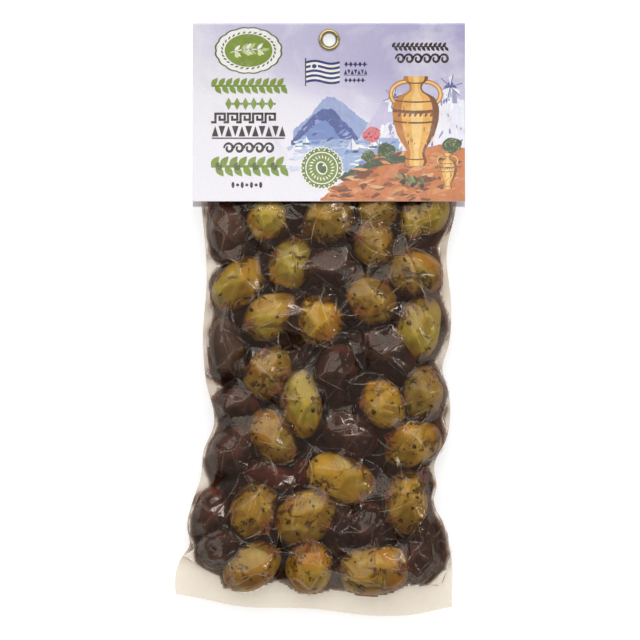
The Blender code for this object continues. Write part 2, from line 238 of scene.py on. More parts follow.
def olive_rows():
    """Every olive with its top height and whether it is a dark one."""
    rows = []
    for x, y, length, width, turn, tone in GREEN_OLIVES:
        olive = (x, y, GREEN_PLUMP * length, GREEN_PLUMP * width, turn, tone)
        rows.append((olive, TOP_BASE + TOP_PER_WIDTH * width - FILM_ROOM, False))
    rows += [(olive, TOP_BASE + TOP_PER_WIDTH * olive[3] - FILM_ROOM, True) for olive in DARK_OLIVES]
    rows += [(olive, DEEP_TOP - FILM_ROOM, True) for olive in DEEP_OLIVES]
    return rows


def olive_place(olive, along, across):
    """Point at shares of the olive's half length and half width from its middle."""
    x, y, length, width, turn, _ = olive
    return turned(x, y, along * length / 2.0, across * width / 2.0, math.radians(turn))


def olive_reach(olive, x, y):
    """0 at the olive's middle and 1 at its outline, squared."""
    centre_x, centre_y, length, width, turn, _ = olive
    angle = math.radians(turn)
    along = (x - centre_x) * math.cos(angle) + (y - centre_y) * math.sin(angle)
    across = (y - centre_y) * math.cos(angle) - (x - centre_x) * math.sin(angle)
    return (2.0 * along / length) ** 2 + (2.0 * across / width) ** 2


def olive_surfaces(x, y):
    """Highest and lowest olive surface at each point, and the seam's height where there is none."""
    upper = seam_height(x, y)
    lower = upper.copy()
    for olive, top, _ in olive_rows():
        reach = olive_reach(olive, x, y)
        half = (top + PRESSED_FLAT) / 2.0
        dome = half * np.sqrt(np.clip(1.0 - reach, 0.0, 1.0))
        inside = reach < 1.0
        upper = np.where(inside, np.maximum(upper, top - half + dome), upper)
        lower = np.where(inside, np.minimum(lower, np.maximum(top - half - dome, 0.0)), lower)
    return upper, lower


def held_inside(x, y):
    """Distance to the outline of what the film holds, positive inside it."""
    away = np.full(np.shape(x), 1000.0)
    inside = np.zeros(np.shape(x), dtype=bool)
    for (ax, ay), (bx, by) in closed(HELD_OUTLINE):
        span = (bx - ax) ** 2 + (by - ay) ** 2
        along = np.clip(((x - ax) * (bx - ax) + (y - ay) * (by - ay)) / span, 0.0, 1.0)
        away = np.minimum(away, np.hypot(x - ax - along * (bx - ax), y - ay - along * (by - ay)))
        if ay != by:
            crossed = ((ay > y) != (by > y)) & (x < (bx - ax) * (y - ay) / (by - ay) + ax)
            inside = inside ^ crossed
    return np.where(inside, away, -away)


# Regular field for the film's broad shape.
FIELD_STEP = 0.75
FIELD_PLACES_X = np.arange(-72.0, 72.1, FIELD_STEP)
FIELD_PLACES_Y = np.arange(-144.0, 90.1, FIELD_STEP)
FIELD_Y, FIELD_X = np.meshgrid(FIELD_PLACES_Y, FIELD_PLACES_X, indexing="ij")
VACUUM_PULL = 0.03
SETTLE_PASSES = 420


def settle(stop, free):
    """Film pulled down by the vacuum, between its neighbours, as far as what it meets."""
    film = stop.copy()
    for _ in range(SETTLE_PASSES):
        mean = (np.roll(film, 1, 0) + np.roll(film, -1, 0) + np.roll(film, 1, 1) + np.roll(film, -1, 1)) / 4.0
        film = np.where(free, np.maximum(stop, mean - VACUUM_PULL), stop)
    return film


def read_field(field, x, y):
    """Field value at x, y, between its four nearest points."""
    column = np.clip((x - FIELD_PLACES_X[0]) / FIELD_STEP, 0.0, len(FIELD_PLACES_X) - 1.001)
    row = np.clip((y - FIELD_PLACES_Y[0]) / FIELD_STEP, 0.0, len(FIELD_PLACES_Y) - 1.001)
    i = row.astype(int)
    j = column.astype(int)
    v = row - i
    u = column - j
    near = field[i, j] * (1.0 - u) + field[i, j + 1] * u
    far = field[i + 1, j] * (1.0 - u) + field[i + 1, j + 1] * u
    return near * (1.0 - v) + far * v


def broad_shape():
    """Settled film heights above and below the olives, and where the film is free of the seams."""
    x, y = FIELD_X, FIELD_Y
    upper, lower = olive_surfaces(x, y)
    left = smooth_through(LEFT_EDGE, y)
    right = smooth_through(RIGHT_EDGE, y)
    bottom = smooth_through(BOTTOM_EDGE, (x - left) / (right - left))
    free = (x > left + SIDE_SEAM) & (x < right - SIDE_SEAM)
    free &= (y > bottom + BOTTOM_SEAM) & (y < TOP_SEAM_Y)
    seam = seam_height(x, y)
    above = settle(np.where(free, upper, seam), free)
    below = -settle(np.where(free, -lower, -seam), free)
    return above, below, free


ABOVE, BELOW, FREE = broad_shape()

# Creases: planes between contact points on the olives and low points in the gaps.
GAP_REACH = 5
GAP_OVER_SEAM = 0.6
RING_POINTS = 5
RING_TURN = 0.28
RING_REACH = 0.7
RING_SHIFT = 0.16
CROWN_SHIFT = 0.35
OUTLINE_STEP = 11.0
POINT_SPACE = 2.6
FILM_CLEAR = 0.12
WARP = 0.7
TAUT_PASSES = 40
TAUT_PULL = 0.6
TAUT_EVEN = 0.35
TAUT_MOST = 2.4
HELD_LEAST = 0.1

# Folds on top of the planes: webs in the valleys, strokes over the olives, gathers round the gaps.
WEB_SHARE = 0.6
WEB_HEIGHT = 0.6
WEB_HEIGHTS = (0.4, 1.2)
WEB_WIDTH = 0.5
WEB_WIDTHS = (0.8, 1.4)
WEB_VALLEY = 0.2
WEB_LONGEST = 20.0
WEB_MARGIN = 3.0
STROKES_PER_OLIVE = (1, 4)
STROKE_OFFSET = 0.3
STROKE_REACH = (0.35, 0.62)
STROKE_SLIDE = 0.25
STROKE_BOW = 0.16
STROKE_HEIGHT = 0.35
STROKE_HEIGHTS = (0.5, 1.4)
STROKE_STEEP = 0.45
STROKE_GENTLE = 2.2
STROKE_MARGIN = 4.0
STROKE_FADE = 0.3
GATHER_RAYS = (5, 9)
GATHER_HEIGHTS = (0.08, 0.22)
GATHER_MARGIN = 9.0
GATHER_START = 1.5
GATHER_REACH = 3.2
GATHER_SWIRL = 0.25
GATHER_TROUGH = -0.3


def gap_points():
    """Low points of the settled film between olives."""
    lowest = ABOVE.copy()
    for i in range(-GAP_REACH, GAP_REACH + 1):
        for j in range(-GAP_REACH, GAP_REACH + 1):
            lowest = np.minimum(lowest, np.roll(np.roll(ABOVE, i, 0), j, 1))
    low = FREE & (ABOVE <= lowest + 1e-6) & (ABOVE > seam_height(FIELD_X, FIELD_Y) + GAP_OVER_SEAM)
    return list(zip(FIELD_X[low], FIELD_Y[low]))


def outline_points():
    """The held outline's corners, with more of them along its long sides."""
    points = []
    for (ax, ay), (bx, by) in closed(HELD_OUTLINE):
        count = math.ceil(math.dist((ax, ay), (bx, by)) / OUTLINE_STEP)
        points += [(ax + (bx - ax) * k / count, ay + (by - ay) * k / count) for k in range(count)]
    return points


def crease_network():
    """Delaunay net over the outline, contact and gap points, each with its height."""
    draw = np.random.default_rng(SEED)
    points = gap_points()
    for olive, _, _ in olive_rows():
        places = [(draw.uniform(-CROWN_SHIFT, CROWN_SHIFT), draw.uniform(-CROWN_SHIFT, CROWN_SHIFT))]
        start = draw.uniform(0.0, TURN)
        for k in range(RING_POINTS):
            around = start + TURN * (k + draw.uniform(-RING_TURN, RING_TURN)) / RING_POINTS
            reach = RING_REACH + draw.uniform(-RING_SHIFT, RING_SHIFT)
            places.append((reach * math.cos(around), reach * math.sin(around)))
        points += [olive_place(olive, along, across) for along, across in places]
    outline = outline_points()
    kept = list(outline)
    for point in points:
        free = held_inside(np.array([point[0]]), np.array([point[1]]))[0] > POINT_SPACE
        if free and all(math.dist(point, other) > POINT_SPACE for other in kept):
            kept.append(point)
    sides = [(k, (k + 1) % len(outline)) for k in range(len(outline))]
    net = delaunay_2d_cdt([Vector(point) for point in kept], sides, [], 0, 1e-5)
    places = np.array([(v.x, v.y) for v in net[0]])
    held = held_inside(places[:, 0], places[:, 1]) > HELD_LEAST
    heights = np.where(held, read_field(ABOVE, *places.T), seam_height(*places.T))
    middles = np.array([places[list(face)].mean(axis=0) for face in net[2]])
    faces = [face for face, inside in zip(net[2], held_inside(*middles.T)) if inside > 0.0]
    return places, heights, held, net[1], faces


NET_PLACES, NET_HEIGHTS, NET_HELD, NET_EDGES, NET_FACES = crease_network()


def corner_shares(corners, x, y):
    """Shares of a triangle's three corners at each point."""
    (ax, ay), (bx, by), (cx, cy) = corners
    area = (by - cy) * (ax - cx) + (cx - bx) * (ay - cy)
    first = ((by - cy) * (x - cx) + (cx - bx) * (y - cy)) / area
    second = ((cy - ay) * (x - cx) + (ax - cx) * (y - cy)) / area
    return np.stack([first, second, 1.0 - first - second])


def points_in_faces(x, y):
    """For each face of the net, which of the points are inside it and their shares of its corners."""
    cells = []
    for face in NET_FACES:
        corners = NET_PLACES[list(face)]
        low = corners.min(axis=0)
        high = corners.max(axis=0)
        near = np.nonzero((x >= low[0]) & (x <= high[0]) & (y >= low[1]) & (y <= high[1]))[0]
        if not len(near):
            continue
        shares = corner_shares(corners, x[near], y[near])
        inside = shares.min(axis=0) > -1e-6
        if inside.any():
            cells.append((list(face), near[inside], shares[:, inside]))
    return cells


def taut_heights():
    """Heights of the net's points, raised until no plane cuts an olive."""
    x, y = FIELD_X.ravel(), FIELD_Y.ravel()
    olives, _ = olive_surfaces(x, y)
    inner = held_inside(x, y) > POINT_SPACE
    cells = points_in_faces(x, y)
    heights = NET_HEIGHTS.copy()
    for _ in range(TAUT_PASSES):
        raised = heights.copy()
        for face, near, shares in cells:
            gap = np.where(inner[near], olives[near] + FILM_CLEAR - heights[face] @ shares, 0.0)
            most = int(np.argmax(gap))
            if gap[most] <= 0.0:
                continue
            for corner, share in zip(face, shares[:, most]):
                if NET_HELD[corner]:
                    pull = TAUT_PULL * gap[most] * (TAUT_EVEN + share)
                    raised[corner] = max(raised[corner], heights[corner] + pull)
        heights = np.minimum(raised, NET_HEIGHTS + TAUT_MOST)
    return heights


TAUT_HEIGHTS = taut_heights()


def plane_height(x, y):
    """Height of the taut film: flat planes between the net's points, down to the seam at the outline."""
    height = np.ravel(seam_height(x, y)).copy()
    for face, near, shares in points_in_faces(np.ravel(x), np.ravel(y)):
        height[near] = TAUT_HEIGHTS[face] @ shares
    return height.reshape(np.shape(x))


def along_segment(x, y, a, b):
    """Share along the segment from a to b, and signed distance across it, of each point."""
    length = math.dist(a, b)
    step = ((b[0] - a[0]) / length, (b[1] - a[1]) / length)
    along = ((x - a[0]) * step[0] + (y - a[1]) * step[1]) / length
    across = (x - a[0]) * step[1] - (y - a[1]) * step[0]
    return along, across


def near_segment(x, y, a, b, margin):
    """Which points lie in the square round the segment's middle, with a margin past its ends."""
    reach = math.dist(a, b) / 2.0 + margin
    return (np.abs(x - (a[0] + b[0]) / 2.0) < reach) & (np.abs(y - (a[1] + b[1]) / 2.0) < reach)


def webs(x, y):
    """Thin folds that stand up along the valleys between olives."""
    draw = np.random.default_rng(SEED + 1)
    total = np.zeros_like(x)
    for start, end in NET_EDGES:
        chosen = draw.uniform() < WEB_SHARE
        height = WEB_HEIGHT * draw.uniform(*WEB_HEIGHTS)
        width = WEB_WIDTH * draw.uniform(*WEB_WIDTHS)
        a, b = NET_PLACES[start], NET_PLACES[end]
        middle = ((a + b) / 2.0)[:, None]
        valley = (read_field(ABOVE, *middle) - olive_surfaces(*middle)[0])[0] > WEB_VALLEY
        if not (chosen and valley) or math.dist(a, b) > WEB_LONGEST:
            continue
        near = near_segment(x, y, a, b, WEB_MARGIN)
        along, across = along_segment(x[near], y[near], a, b)
        taper = np.clip(1.1 - (2.0 * along - 1.0) ** 2, 0.0, 1.0)
        total[near] = np.maximum(total[near], height * taper * np.exp(-(across / width) ** 2))
    return total


def strokes():
    """Long creases that cross the olives: start, end, bow, height and lean of each."""
    draw = np.random.default_rng(SEED + 8)
    rows = []
    for olive, _, _ in olive_rows():
        centre_x, centre_y, length, width, _, _ = olive
        for _ in range(draw.integers(*STROKES_PER_OLIVE)):
            bearing = draw.uniform(0.0, math.pi)
            offset = draw.uniform(-STROKE_OFFSET, STROKE_OFFSET) * width
            reach = draw.uniform(*STROKE_REACH) * (length + width) / 2.0
            x, y = turned(centre_x, centre_y, 0.0, offset, bearing)
            slide = draw.uniform(-STROKE_SLIDE, STROKE_SLIDE) * reach
            a = turned(x, y, slide - reach, 0.0, bearing)
            b = turned(x, y, slide + reach, 0.0, bearing)
            rows.append((a, b, draw.uniform(-STROKE_BOW, STROKE_BOW),
                         STROKE_HEIGHT * draw.uniform(*STROKE_HEIGHTS), draw.choice([-1.0, 1.0])))
    return rows


STROKES = strokes()


def creases(x, y):
    """Creases over the olives: steep on one side, falling gently on the other."""
    total = np.zeros_like(x)
    for a, b, bow, height, lean in STROKES:
        near = near_segment(x, y, a, b, STROKE_MARGIN)
        along, across = along_segment(x[near], y[near], a, b)
        across = lean * (across - bow * math.dist(a, b) * (1.0 - (2.0 * along - 1.0) ** 2))
        taper = smooth_step(along / STROKE_FADE) * smooth_step((1.0 - along) / STROKE_FADE)
        profile = np.where(across > 0.0, np.exp(-across / STROKE_GENTLE),
                           np.exp(-(across / STROKE_STEEP) ** 2))
        total[near] = np.maximum(total[near], height * taper * profile)
    return total


def gathers(x, y):
    """Small folds that run out of each gap's low point like rays."""
    draw = np.random.default_rng(SEED + 4)
    total = np.zeros_like(x)
    for gap_x, gap_y in gap_points():
        count = draw.integers(*GATHER_RAYS)
        phase = draw.uniform(0.0, TURN)
        height = draw.uniform(*GATHER_HEIGHTS)
        near = (np.abs(x - gap_x) < GATHER_MARGIN) & (np.abs(y - gap_y) < GATHER_MARGIN)
        dx = x[near] - gap_x
        dy = y[near] - gap_y
        distance = np.hypot(dx, dy)
        fade = smooth_step(distance / GATHER_START) * np.exp(-distance / GATHER_REACH)
        wave = np.cos(count * np.arctan2(dy, dx) + phase + GATHER_SWIRL * distance)
        total[near] += height * fade * np.maximum(wave, GATHER_TROUGH)
    return total


# Lengths of the warp's waves, and how far inside the outline warp, folds and height are full.
WARP_WAVES = (12.0, 26.0)
WARP_START = 5.0
LOOSE_START = 4.0
HELD_START = 0.8
OVER_OLIVE = 1.5

# Folds of the film underneath, where it hangs free of the seam's height.
BACK_FOLD = 0.25
BACK_WAVES = (5.0, 9.0)
BACK_FREE = 0.3
BACK_START = 1.6
BACK_LOWEST = 0.05
SEAL_SPAN = 0.9


def upper_film(x, y):
    """Height of the creased film on the shown side."""
    seam = seam_height(x, y)
    olives, _ = olive_surfaces(x, y)
    inside = held_inside(x, y)
    bend = WARP * smooth_step(inside / WARP_START)
    warp_x = x + bend * waves(x, y, SEED + 5, *WARP_WAVES)
    warp_y = y + bend * waves(x, y, SEED + 6, *WARP_WAVES)
    planes = plane_height(warp_x, warp_y)
    loose = smooth_step(inside / LOOSE_START)
    film = np.maximum(planes, olives + FILM_CLEAR)
    film = film + loose * (webs(warp_x, warp_y) + creases(warp_x, warp_y) + gathers(x, y))
    film = np.minimum(film, CAD_TOP)
    held = smooth_step(np.maximum(inside / HELD_START + 0.2, (olives - seam) / OVER_OLIVE))
    return seam + FILM_THICKNESS / 2.0 + np.maximum(film - seam, 0.0) * held


def lower_film(x, y):
    """Height of the film underneath, pressed flat where the pack rests."""
    seam = seam_height(x, y)
    settled = read_field(BELOW, x, y)
    loose = smooth_step((seam - settled - BACK_FREE) / BACK_START)
    folds = BACK_FOLD * np.abs(waves(x, y, SEED + 7, *BACK_WAVES)) * loose
    depth = np.maximum(seam - settled + folds, 0.0) * loose
    return np.maximum(seam - FILM_THICKNESS / 2.0 - depth, BACK_LOWEST)


def pouch_places(cell, top_y):
    """Rows and columns of points inside the film's outline, from top_y down to the bottom edge."""
    rows = round((top_y - FILM_FOOT_Y) / cell)
    columns = round(FILM_WIDE / cell)
    t, s = np.meshgrid(np.linspace(0.0, 1.0, rows + 1), np.linspace(0.0, 1.0, columns + 1), indexing="ij")
    left_y = top_y + (BOTTOM_EDGE[0][1] - top_y) * t
    right_y = top_y + (BOTTOM_EDGE[-1][1] - top_y) * t
    left = smooth_through(LEFT_EDGE, left_y)
    right = smooth_through(RIGHT_EDGE, right_y)
    x = left + (right - left) * s
    y = top_y + (smooth_through(BOTTOM_EDGE, s) - top_y) * t
    return x, y


def seal_share(x, y):
    """1 on the sealed film, 0 on the free film."""
    return smooth_step(0.5 - held_inside(x, y) / SEAL_SPAN)


def new_object(name, data):
    """Object linked to the scene."""
    piece = bpy.data.objects.new(name, data)
    bpy.context.scene.collection.objects.link(piece)
    return piece


def new_piece(name, mesh, material):
    """Object with one material, linked to the scene."""
    mesh.materials.append(material)
    return new_object(name, mesh)


def pouch_piece(name, mesh, material):
    """Piece that stands for a share of what the solid pouch stands for."""
    piece = new_piece(name, mesh, material)
    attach(piece, "root")
    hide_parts("pouch")


def mesh_from(name, points, faces, smooth=True):
    """Mesh in metres from points in millimetres and a face array of one width."""
    points = np.asarray(points, dtype=np.float32) * MM
    faces = np.asarray(faces, dtype=np.int32)
    mesh = bpy.data.meshes.new(name)
    mesh.vertices.add(len(points))
    mesh.vertices.foreach_set("co", points.ravel())
    count, width = faces.shape
    mesh.loops.add(count * width)
    mesh.loops.foreach_set("vertex_index", faces.ravel())
    mesh.polygons.add(count)
    mesh.polygons.foreach_set("loop_start", np.arange(0, count * width, width, dtype=np.int32))
    mesh.update(calc_edges=True)
    mesh.validate()
    if smooth:
        mesh.shade_smooth()
    return mesh


def grid_faces(rows, columns, first=0):
    """Quads of a grid of points, facing up when rows run towards -Y and columns towards +X."""
    i, j = np.meshgrid(np.arange(rows - 1), np.arange(columns - 1), indexing="ij")
    a = (first + i * columns + j).ravel()
    return np.stack([a, a + columns, a + columns + 1, a + 1], axis=1)


def store(mesh, name, values):
    """Point attribute: one number, or a colour of three, for each vertex."""
    values = np.asarray(values, dtype=np.float32)
    if values.ndim == 1:
        mesh.attributes.new(name, "FLOAT", "POINT").data.foreach_set("value", values)
        return
    colour = np.ones((len(values), 4), dtype=np.float32)
    colour[:, :3] = values
    mesh.color_attributes.new(name, "FLOAT_COLOR", "POINT").data.foreach_set("color", colour.ravel())


class Nodes:
    """Short hand for building one material's node tree."""

    def __init__(self, name):
        self.material = bpy.data.materials.new(name)
        self.material.use_nodes = True
        self.tree = self.material.node_tree
        self.shader = self.tree.nodes["Principled BSDF"]

    def put(self, socket, value):
        """Give a socket a number, a vector or a colour, or link another socket to it."""
        if isinstance(value, (float, int)):
            socket.default_value = value
        elif isinstance(value, tuple):
            socket.default_value = (*value, 1.0)[:len(socket.default_value)]
        else:
            self.tree.links.new(value, socket)

    def add(self, kind, inputs=(), **settings):
        """Node with its settings, and values or links for its first inputs."""
        node = self.tree.nodes.new(kind)
        for key, value in settings.items():
            setattr(node, key, value)
        for socket, value in zip(node.inputs, inputs):
            self.put(socket, value)
        return node

    def named(self, node, **values):
        """Give a node's named inputs their values or links."""
        for key, value in values.items():
            self.put(node.inputs[key.replace("_", " ")], value)
        return node

    def colour(self, name):
        return self.add("ShaderNodeAttribute", attribute_name=name).outputs["Color"]

    def value(self, name):
        return self.add("ShaderNodeAttribute", attribute_name=name).outputs["Fac"]

    def place(self):
        return self.add("ShaderNodeTexCoord").outputs["Object"]

    def noise(self, scale, detail=3.0, roughness=0.5, distortion=0.0):
        node = self.add("ShaderNodeTexNoise", [self.place()])
        self.named(node, Scale=scale, Detail=detail, Roughness=roughness, Distortion=distortion)
        return node.outputs["Fac"]

    def ramp(self, value, stops):
        node = self.add("ShaderNodeValToRGB", [value])
        elements = node.color_ramp.elements
        while len(elements) < len(stops):
            elements.new(0.5)
        for element, (place, colour) in zip(elements, stops):
            element.position = place
            element.color = (*(colour if isinstance(colour, tuple) else (colour,) * 3), 1.0)
        return node.outputs["Color"]

    def mix(self, share, first, second, blend="MIX"):
        node = self.add("ShaderNodeMix", data_type="RGBA", blend_type=blend)
        for k, value in ((0, share), (6, first), (7, second)):
            self.put(node.inputs[k], value)
        return node.outputs[2]

    def mottle(self, noise, low, high, under, over, most=1.0):
        """Colour over shows through colour under where the noise is from low to high."""
        return self.mix(self.ramp(noise, [(low, 0.0), (high, most)]), under, over)

    def blend(self, share, first, second):
        """Mix of two shaders."""
        return self.add("ShaderNodeMixShader", [share, first, second]).outputs[0]

    def math(self, operation, first, second=0.0):
        return self.add("ShaderNodeMath", [first, second], operation=operation).outputs[0]

    def vector(self, operation, *values):
        return self.add("ShaderNodeVectorMath", values, operation=operation)

    def level(self, place):
        """The place with its height taken out."""
        return self.vector("MULTIPLY", place, (1.0, 1.0, 0.0)).outputs[0]

    def span(self, value, low, high, kind="LINEAR"):
        """0 to 1 as the value goes from low to high."""
        return self.add("ShaderNodeMapRange", [value, low, high], interpolation_type=kind).outputs[0]

    def bump(self, height, strength, distance):
        node = self.named(self.add("ShaderNodeBump"), Strength=strength, Distance=distance, Height=height)
        return node.outputs["Normal"]

    def finish(self, **values):
        self.named(self.shader, **values)
        return self.material


JUICE_THIN = linear(136, 82, 50)
JUICE_DEEP = linear(42, 21, 16)
SKIN_SHINE = 0.06


def under_juice(nodes, skin):
    """Skin colour sinking into dark juice with the depth stored on the mesh."""
    depth = nodes.value("cover")
    streaks = nodes.ramp(nodes.noise(170.0, 4.0, 0.65, 1.0), [(0.38, 0.0), (0.66, 1.0)])
    near = nodes.ramp(depth, [(0.0, 0.0), (0.3, 0.35), (0.6, 0.75), (1.0, 0.9)])
    stained = nodes.mix(nodes.math("MULTIPLY", near, streaks), skin, JUICE_THIN)
    deep = nodes.ramp(depth, [(0.0, 0.0), (0.3, 0.1), (0.6, 0.42), (0.85, 0.85), (1.0, 0.95)])
    return nodes.mix(deep, stained, JUICE_DEEP)


def green_skin():
    """Moist green olive skin: mottled, with golden patches, pale patches of painted film sheen, bruises and
    pores.
    """
    nodes = Nodes("green_skin")
    broad = nodes.noise(70.0, 4.0, 0.6)
    skin = nodes.mottle(broad, 0.42, 0.66, nodes.colour("tone"), linear(174, 132, 46), 0.6)
    # Pale khaki patches: painted sheen of the film over the skin.
    light = nodes.noise(110.0, 3.0, 0.55)
    skin = nodes.mottle(light, 0.5, 0.72, skin, linear(196, 184, 100), 0.6)
    rim = nodes.math("MULTIPLY", nodes.value("cover"), 0.3)
    bruise = nodes.math("ADD", nodes.noise(120.0, 5.0, 0.72, 0.8), rim)
    skin = nodes.mottle(bruise, 0.56, 0.62, skin, linear(80, 50, 26), 0.85)
    skin = nodes.mottle(nodes.noise(1500.0, 2.0), 0.6, 0.75, skin, linear(196, 182, 110), 0.3)
    return nodes.finish(Base_Color=under_juice(nodes, skin), Normal=nodes.bump(light, 0.15, 0.0006),
                        Roughness=nodes.ramp(broad, [(0.3, 0.3), (0.7, 0.42)]), Specular_IOR_Level=SKIN_SHINE,
                        Subsurface_Weight=0.08, Subsurface_Scale=0.002)


def dark_skin():
    """Moist dark olive skin: near black to wine red, with fine wrinkles and a dull bloom."""
    nodes = Nodes("dark_skin")
    broad = nodes.noise(85.0, 4.0, 0.6)
    skin = nodes.mottle(broad, 0.42, 0.68, nodes.colour("tone"), linear(92, 60, 50), 0.7)
    warm = nodes.noise(140.0, 3.0, 0.6)
    skin = nodes.mottle(warm, 0.58, 0.75, skin, linear(88, 34, 26), 0.6)
    wrinkle = nodes.noise(420.0, 4.0, 0.6, 1.2)
    return nodes.finish(Base_Color=under_juice(nodes, skin), Normal=nodes.bump(wrinkle, 0.35, 0.0006),
                        Roughness=nodes.ramp(warm, [(0.3, 0.32), (0.7, 0.5)]), Specular_IOR_Level=SKIN_SHINE)


def juice_look():
    """Olive juice trapped between the olives: reddish and light where thin, near black where deep."""
    nodes = Nodes("olive_juice")
    thick = nodes.value("thick")
    tint = nodes.ramp(thick, [(0.0, linear(150, 110, 88)), (0.12, JUICE_THIN), (0.26, linear(88, 52, 42)),
                              (0.45, linear(56, 32, 26)), (0.7, JUICE_DEEP)])
    tint = nodes.mottle(nodes.noise(95.0, 4.0, 0.6), 0.45, 0.75, tint, linear(86, 46, 34), 0.5)
    solid = nodes.ramp(thick, [(0.0, 0.0), (0.05, 0.55), (0.16, 1.0)])
    return nodes.finish(Base_Color=tint, Roughness=0.4, Specular_IOR_Level=0.1, Alpha=solid)


WRINKLE_SWAY = 0.003
WRINKLE_SCALE = 150.0
FILM_IOR = 1.44


def film_look():
    """Clear film: see-through with glossy creases, hazy and warm where the two layers are sealed."""
    nodes = Nodes("clear_film")
    sway = nodes.noise(120.0, 2.0).node.outputs["Color"]
    shifted = nodes.vector("MULTIPLY_ADD", sway, (WRINKLE_SWAY,) * 3, nodes.place()).outputs[0]
    cells = nodes.add("ShaderNodeTexVoronoi", [nodes.level(shifted)], feature="DISTANCE_TO_EDGE")
    nodes.named(cells, Scale=WRINKLE_SCALE)
    ridge_line = nodes.ramp(cells.outputs["Distance"], [(0.0, 1.0), (0.025, 0.7), (0.06, 0.0)])
    present = nodes.ramp(nodes.noise(130.0, 2.0), [(0.46, 0.0), (0.6, 1.0)])
    normal = nodes.bump(nodes.math("MULTIPLY", ridge_line, present), 0.8, 0.00016)
    through = nodes.add("ShaderNodeBsdfTransparent", [(1.0, 0.968, 0.905)]).outputs[0]
    gloss = nodes.add("ShaderNodeBsdfGlossy", [(1.0, 0.9, 0.79), 0.1])
    nodes.named(gloss, Normal=normal)
    fresnel = nodes.add("ShaderNodeFresnel", [FILM_IOR])
    clear = nodes.blend(fresnel.outputs[0], through, gloss.outputs[0])
    stain = nodes.value("stain")
    haze = nodes.noise(260.0, 3.0, 0.6)
    pale = nodes.ramp(haze, [(0.3, linear(244, 234, 220)), (0.7, linear(248, 241, 230))])
    stained = nodes.mottle(stain, 0.0, 0.8, pale, linear(172, 148, 126))
    juicy = nodes.mottle(stain, 0.8, 1.0, stained, linear(112, 74, 54))
    nodes.finish(Base_Color=juicy, Roughness=0.32)
    cloudy = nodes.ramp(stain, [(0.0, 0.32), (0.8, 0.46), (1.0, 0.75)])
    sealed = nodes.blend(cloudy, through, nodes.shader.outputs[0])
    surface = nodes.blend(nodes.value("seal"), clear, sealed)
    nodes.named(nodes.tree.nodes["Material Output"], Surface=surface)
    return nodes.material


def herb_look():
    """Wet crumbled herb leaf."""
    nodes = Nodes("herb_flake")
    mottle = nodes.noise(700.0, 2.0, 0.6)
    leaf = nodes.ramp(mottle, [(0.35, linear(78, 56, 26)), (0.65, linear(112, 88, 42))])
    return nodes.finish(Base_Color=leaf, Roughness=0.6, Specular_IOR_Level=0.05,
                        Normal=nodes.bump(mottle, 0.3, 0.0003))


OLIVE_AROUND = 48
OLIVE_ALONG = 34
PRESSED_SHARE = 0.8
OLIVE_LOWEST = 0.3
END_SHADE = 0.22
COVER_FROM = 1.2
COVER_DEPTH = 8.0
TIP_START = 0.6
TIP_SPAN = 0.4
TIP_TONE = linear(124, 62, 46)
# Painted sheen on green olives: colour shares on the paler crown and on the more golden flanks, and the width
# of the edge between them.
SHEEN_CROWN_SHARES = np.array([0.97, 1.09, 0.96])
FLANK_SHARES = np.array([1.02, 0.86, 0.56])
SHEEN_EDGE = 0.18

# Ranges of what is drawn at random for each olive.
EGG_SHARES = (0.01, 0.05)
DENT_SHARES = (0.006, 0.02)
FURROW_COUNTS = (7, 12)
FURROW_DEPTHS = (0.01, 0.045)
PRESSED_FACES = (7, 12)
PRESSED_DEPTH = (0.8, 0.95)
TONE_SPREAD = (0.84, 1.09)
# Where the painted sheen on a green olive's crown leans and where it starts.
SHEEN_LEANS = (-0.55, 0.55)
SHEEN_STARTS = (0.3, 0.7)
STEM_BLUSHES = (0.1, 0.9)
TIP_BLUSHES = (0.0, 0.5)


def olive_points(olive, top, dark, draw):
    """Surface points of one olive with its tone and how it lies, with a painted sheen on a green olive's crown.
    """
    half = (top + PRESSED_FLAT) / 2.0
    middle = top - half
    polar, around = np.meshgrid(np.linspace(0.0, math.pi, OLIVE_ALONG + 1), full_turn(OLIVE_AROUND),
                                indexing="ij")
    along = np.cos(polar)
    ring = np.sin(polar)
    taper = 1.0 - draw.uniform(*EGG_SHARES) * (1.0 + along) * ring
    phase = draw.uniform(0.0, TURN)
    dent = draw.uniform(*DENT_SHARES) * (1.0 + np.sin(2.0 * around + 3.0 * along + phase))
    if dark:
        furrows = 0.5 + 0.5 * np.sin(draw.integers(*FURROW_COUNTS) * around + 2.0 * np.sin(2.0 * along + phase))
        dent = dent + draw.uniform(*FURROW_DEPTHS) * furrows * ring
    radius = ring * taper * (1.0 - dent)
    ball = np.stack([along, radius * np.cos(around), radius * np.sin(around)], axis=-1)
    for _ in range(draw.integers(*PRESSED_FACES)):
        facing = draw.normal(size=3)
        facing /= np.linalg.norm(facing)
        over = ball @ facing - draw.uniform(*PRESSED_DEPTH)
        ball = ball - PRESSED_SHARE * np.maximum(over, 0.0)[..., None] * facing
    x, y = olive_place(olive, ball[..., 0], ball[..., 1])
    points = joined(x, y, np.maximum(middle + ball[..., 2] * half, OLIVE_LOWEST))
    shade = np.array(linear(*TONES[olive[-1]])) * draw.uniform(*TONE_SPREAD)
    shade = shade * (1.0 - END_SHADE * np.abs(along.reshape(-1, 1)) ** 3)
    if not dark:
        # Painted sheen: the crown, leaning a little to one side, turns paler and greener, the flanks more
        # golden.
        facing = np.array([*draw.uniform(*SHEEN_LEANS, 2), 1.0])
        crown = ball @ (facing / np.linalg.norm(facing))
        crown = smooth_step((crown.reshape(-1, 1) - draw.uniform(*SHEEN_STARTS)) / SHEEN_EDGE)
        shade = shade * (crown * SHEEN_CROWN_SHARES + (1.0 - crown) * FLANK_SHARES)
    blush = np.where(along > 0.0, draw.uniform(*STEM_BLUSHES), draw.uniform(*TIP_BLUSHES))
    blush = (blush * smooth_step((np.abs(along) - TIP_START) / TIP_SPAN)).reshape(-1, 1)
    return points, shade * (1.0 - blush) + np.array(TIP_TONE) * blush


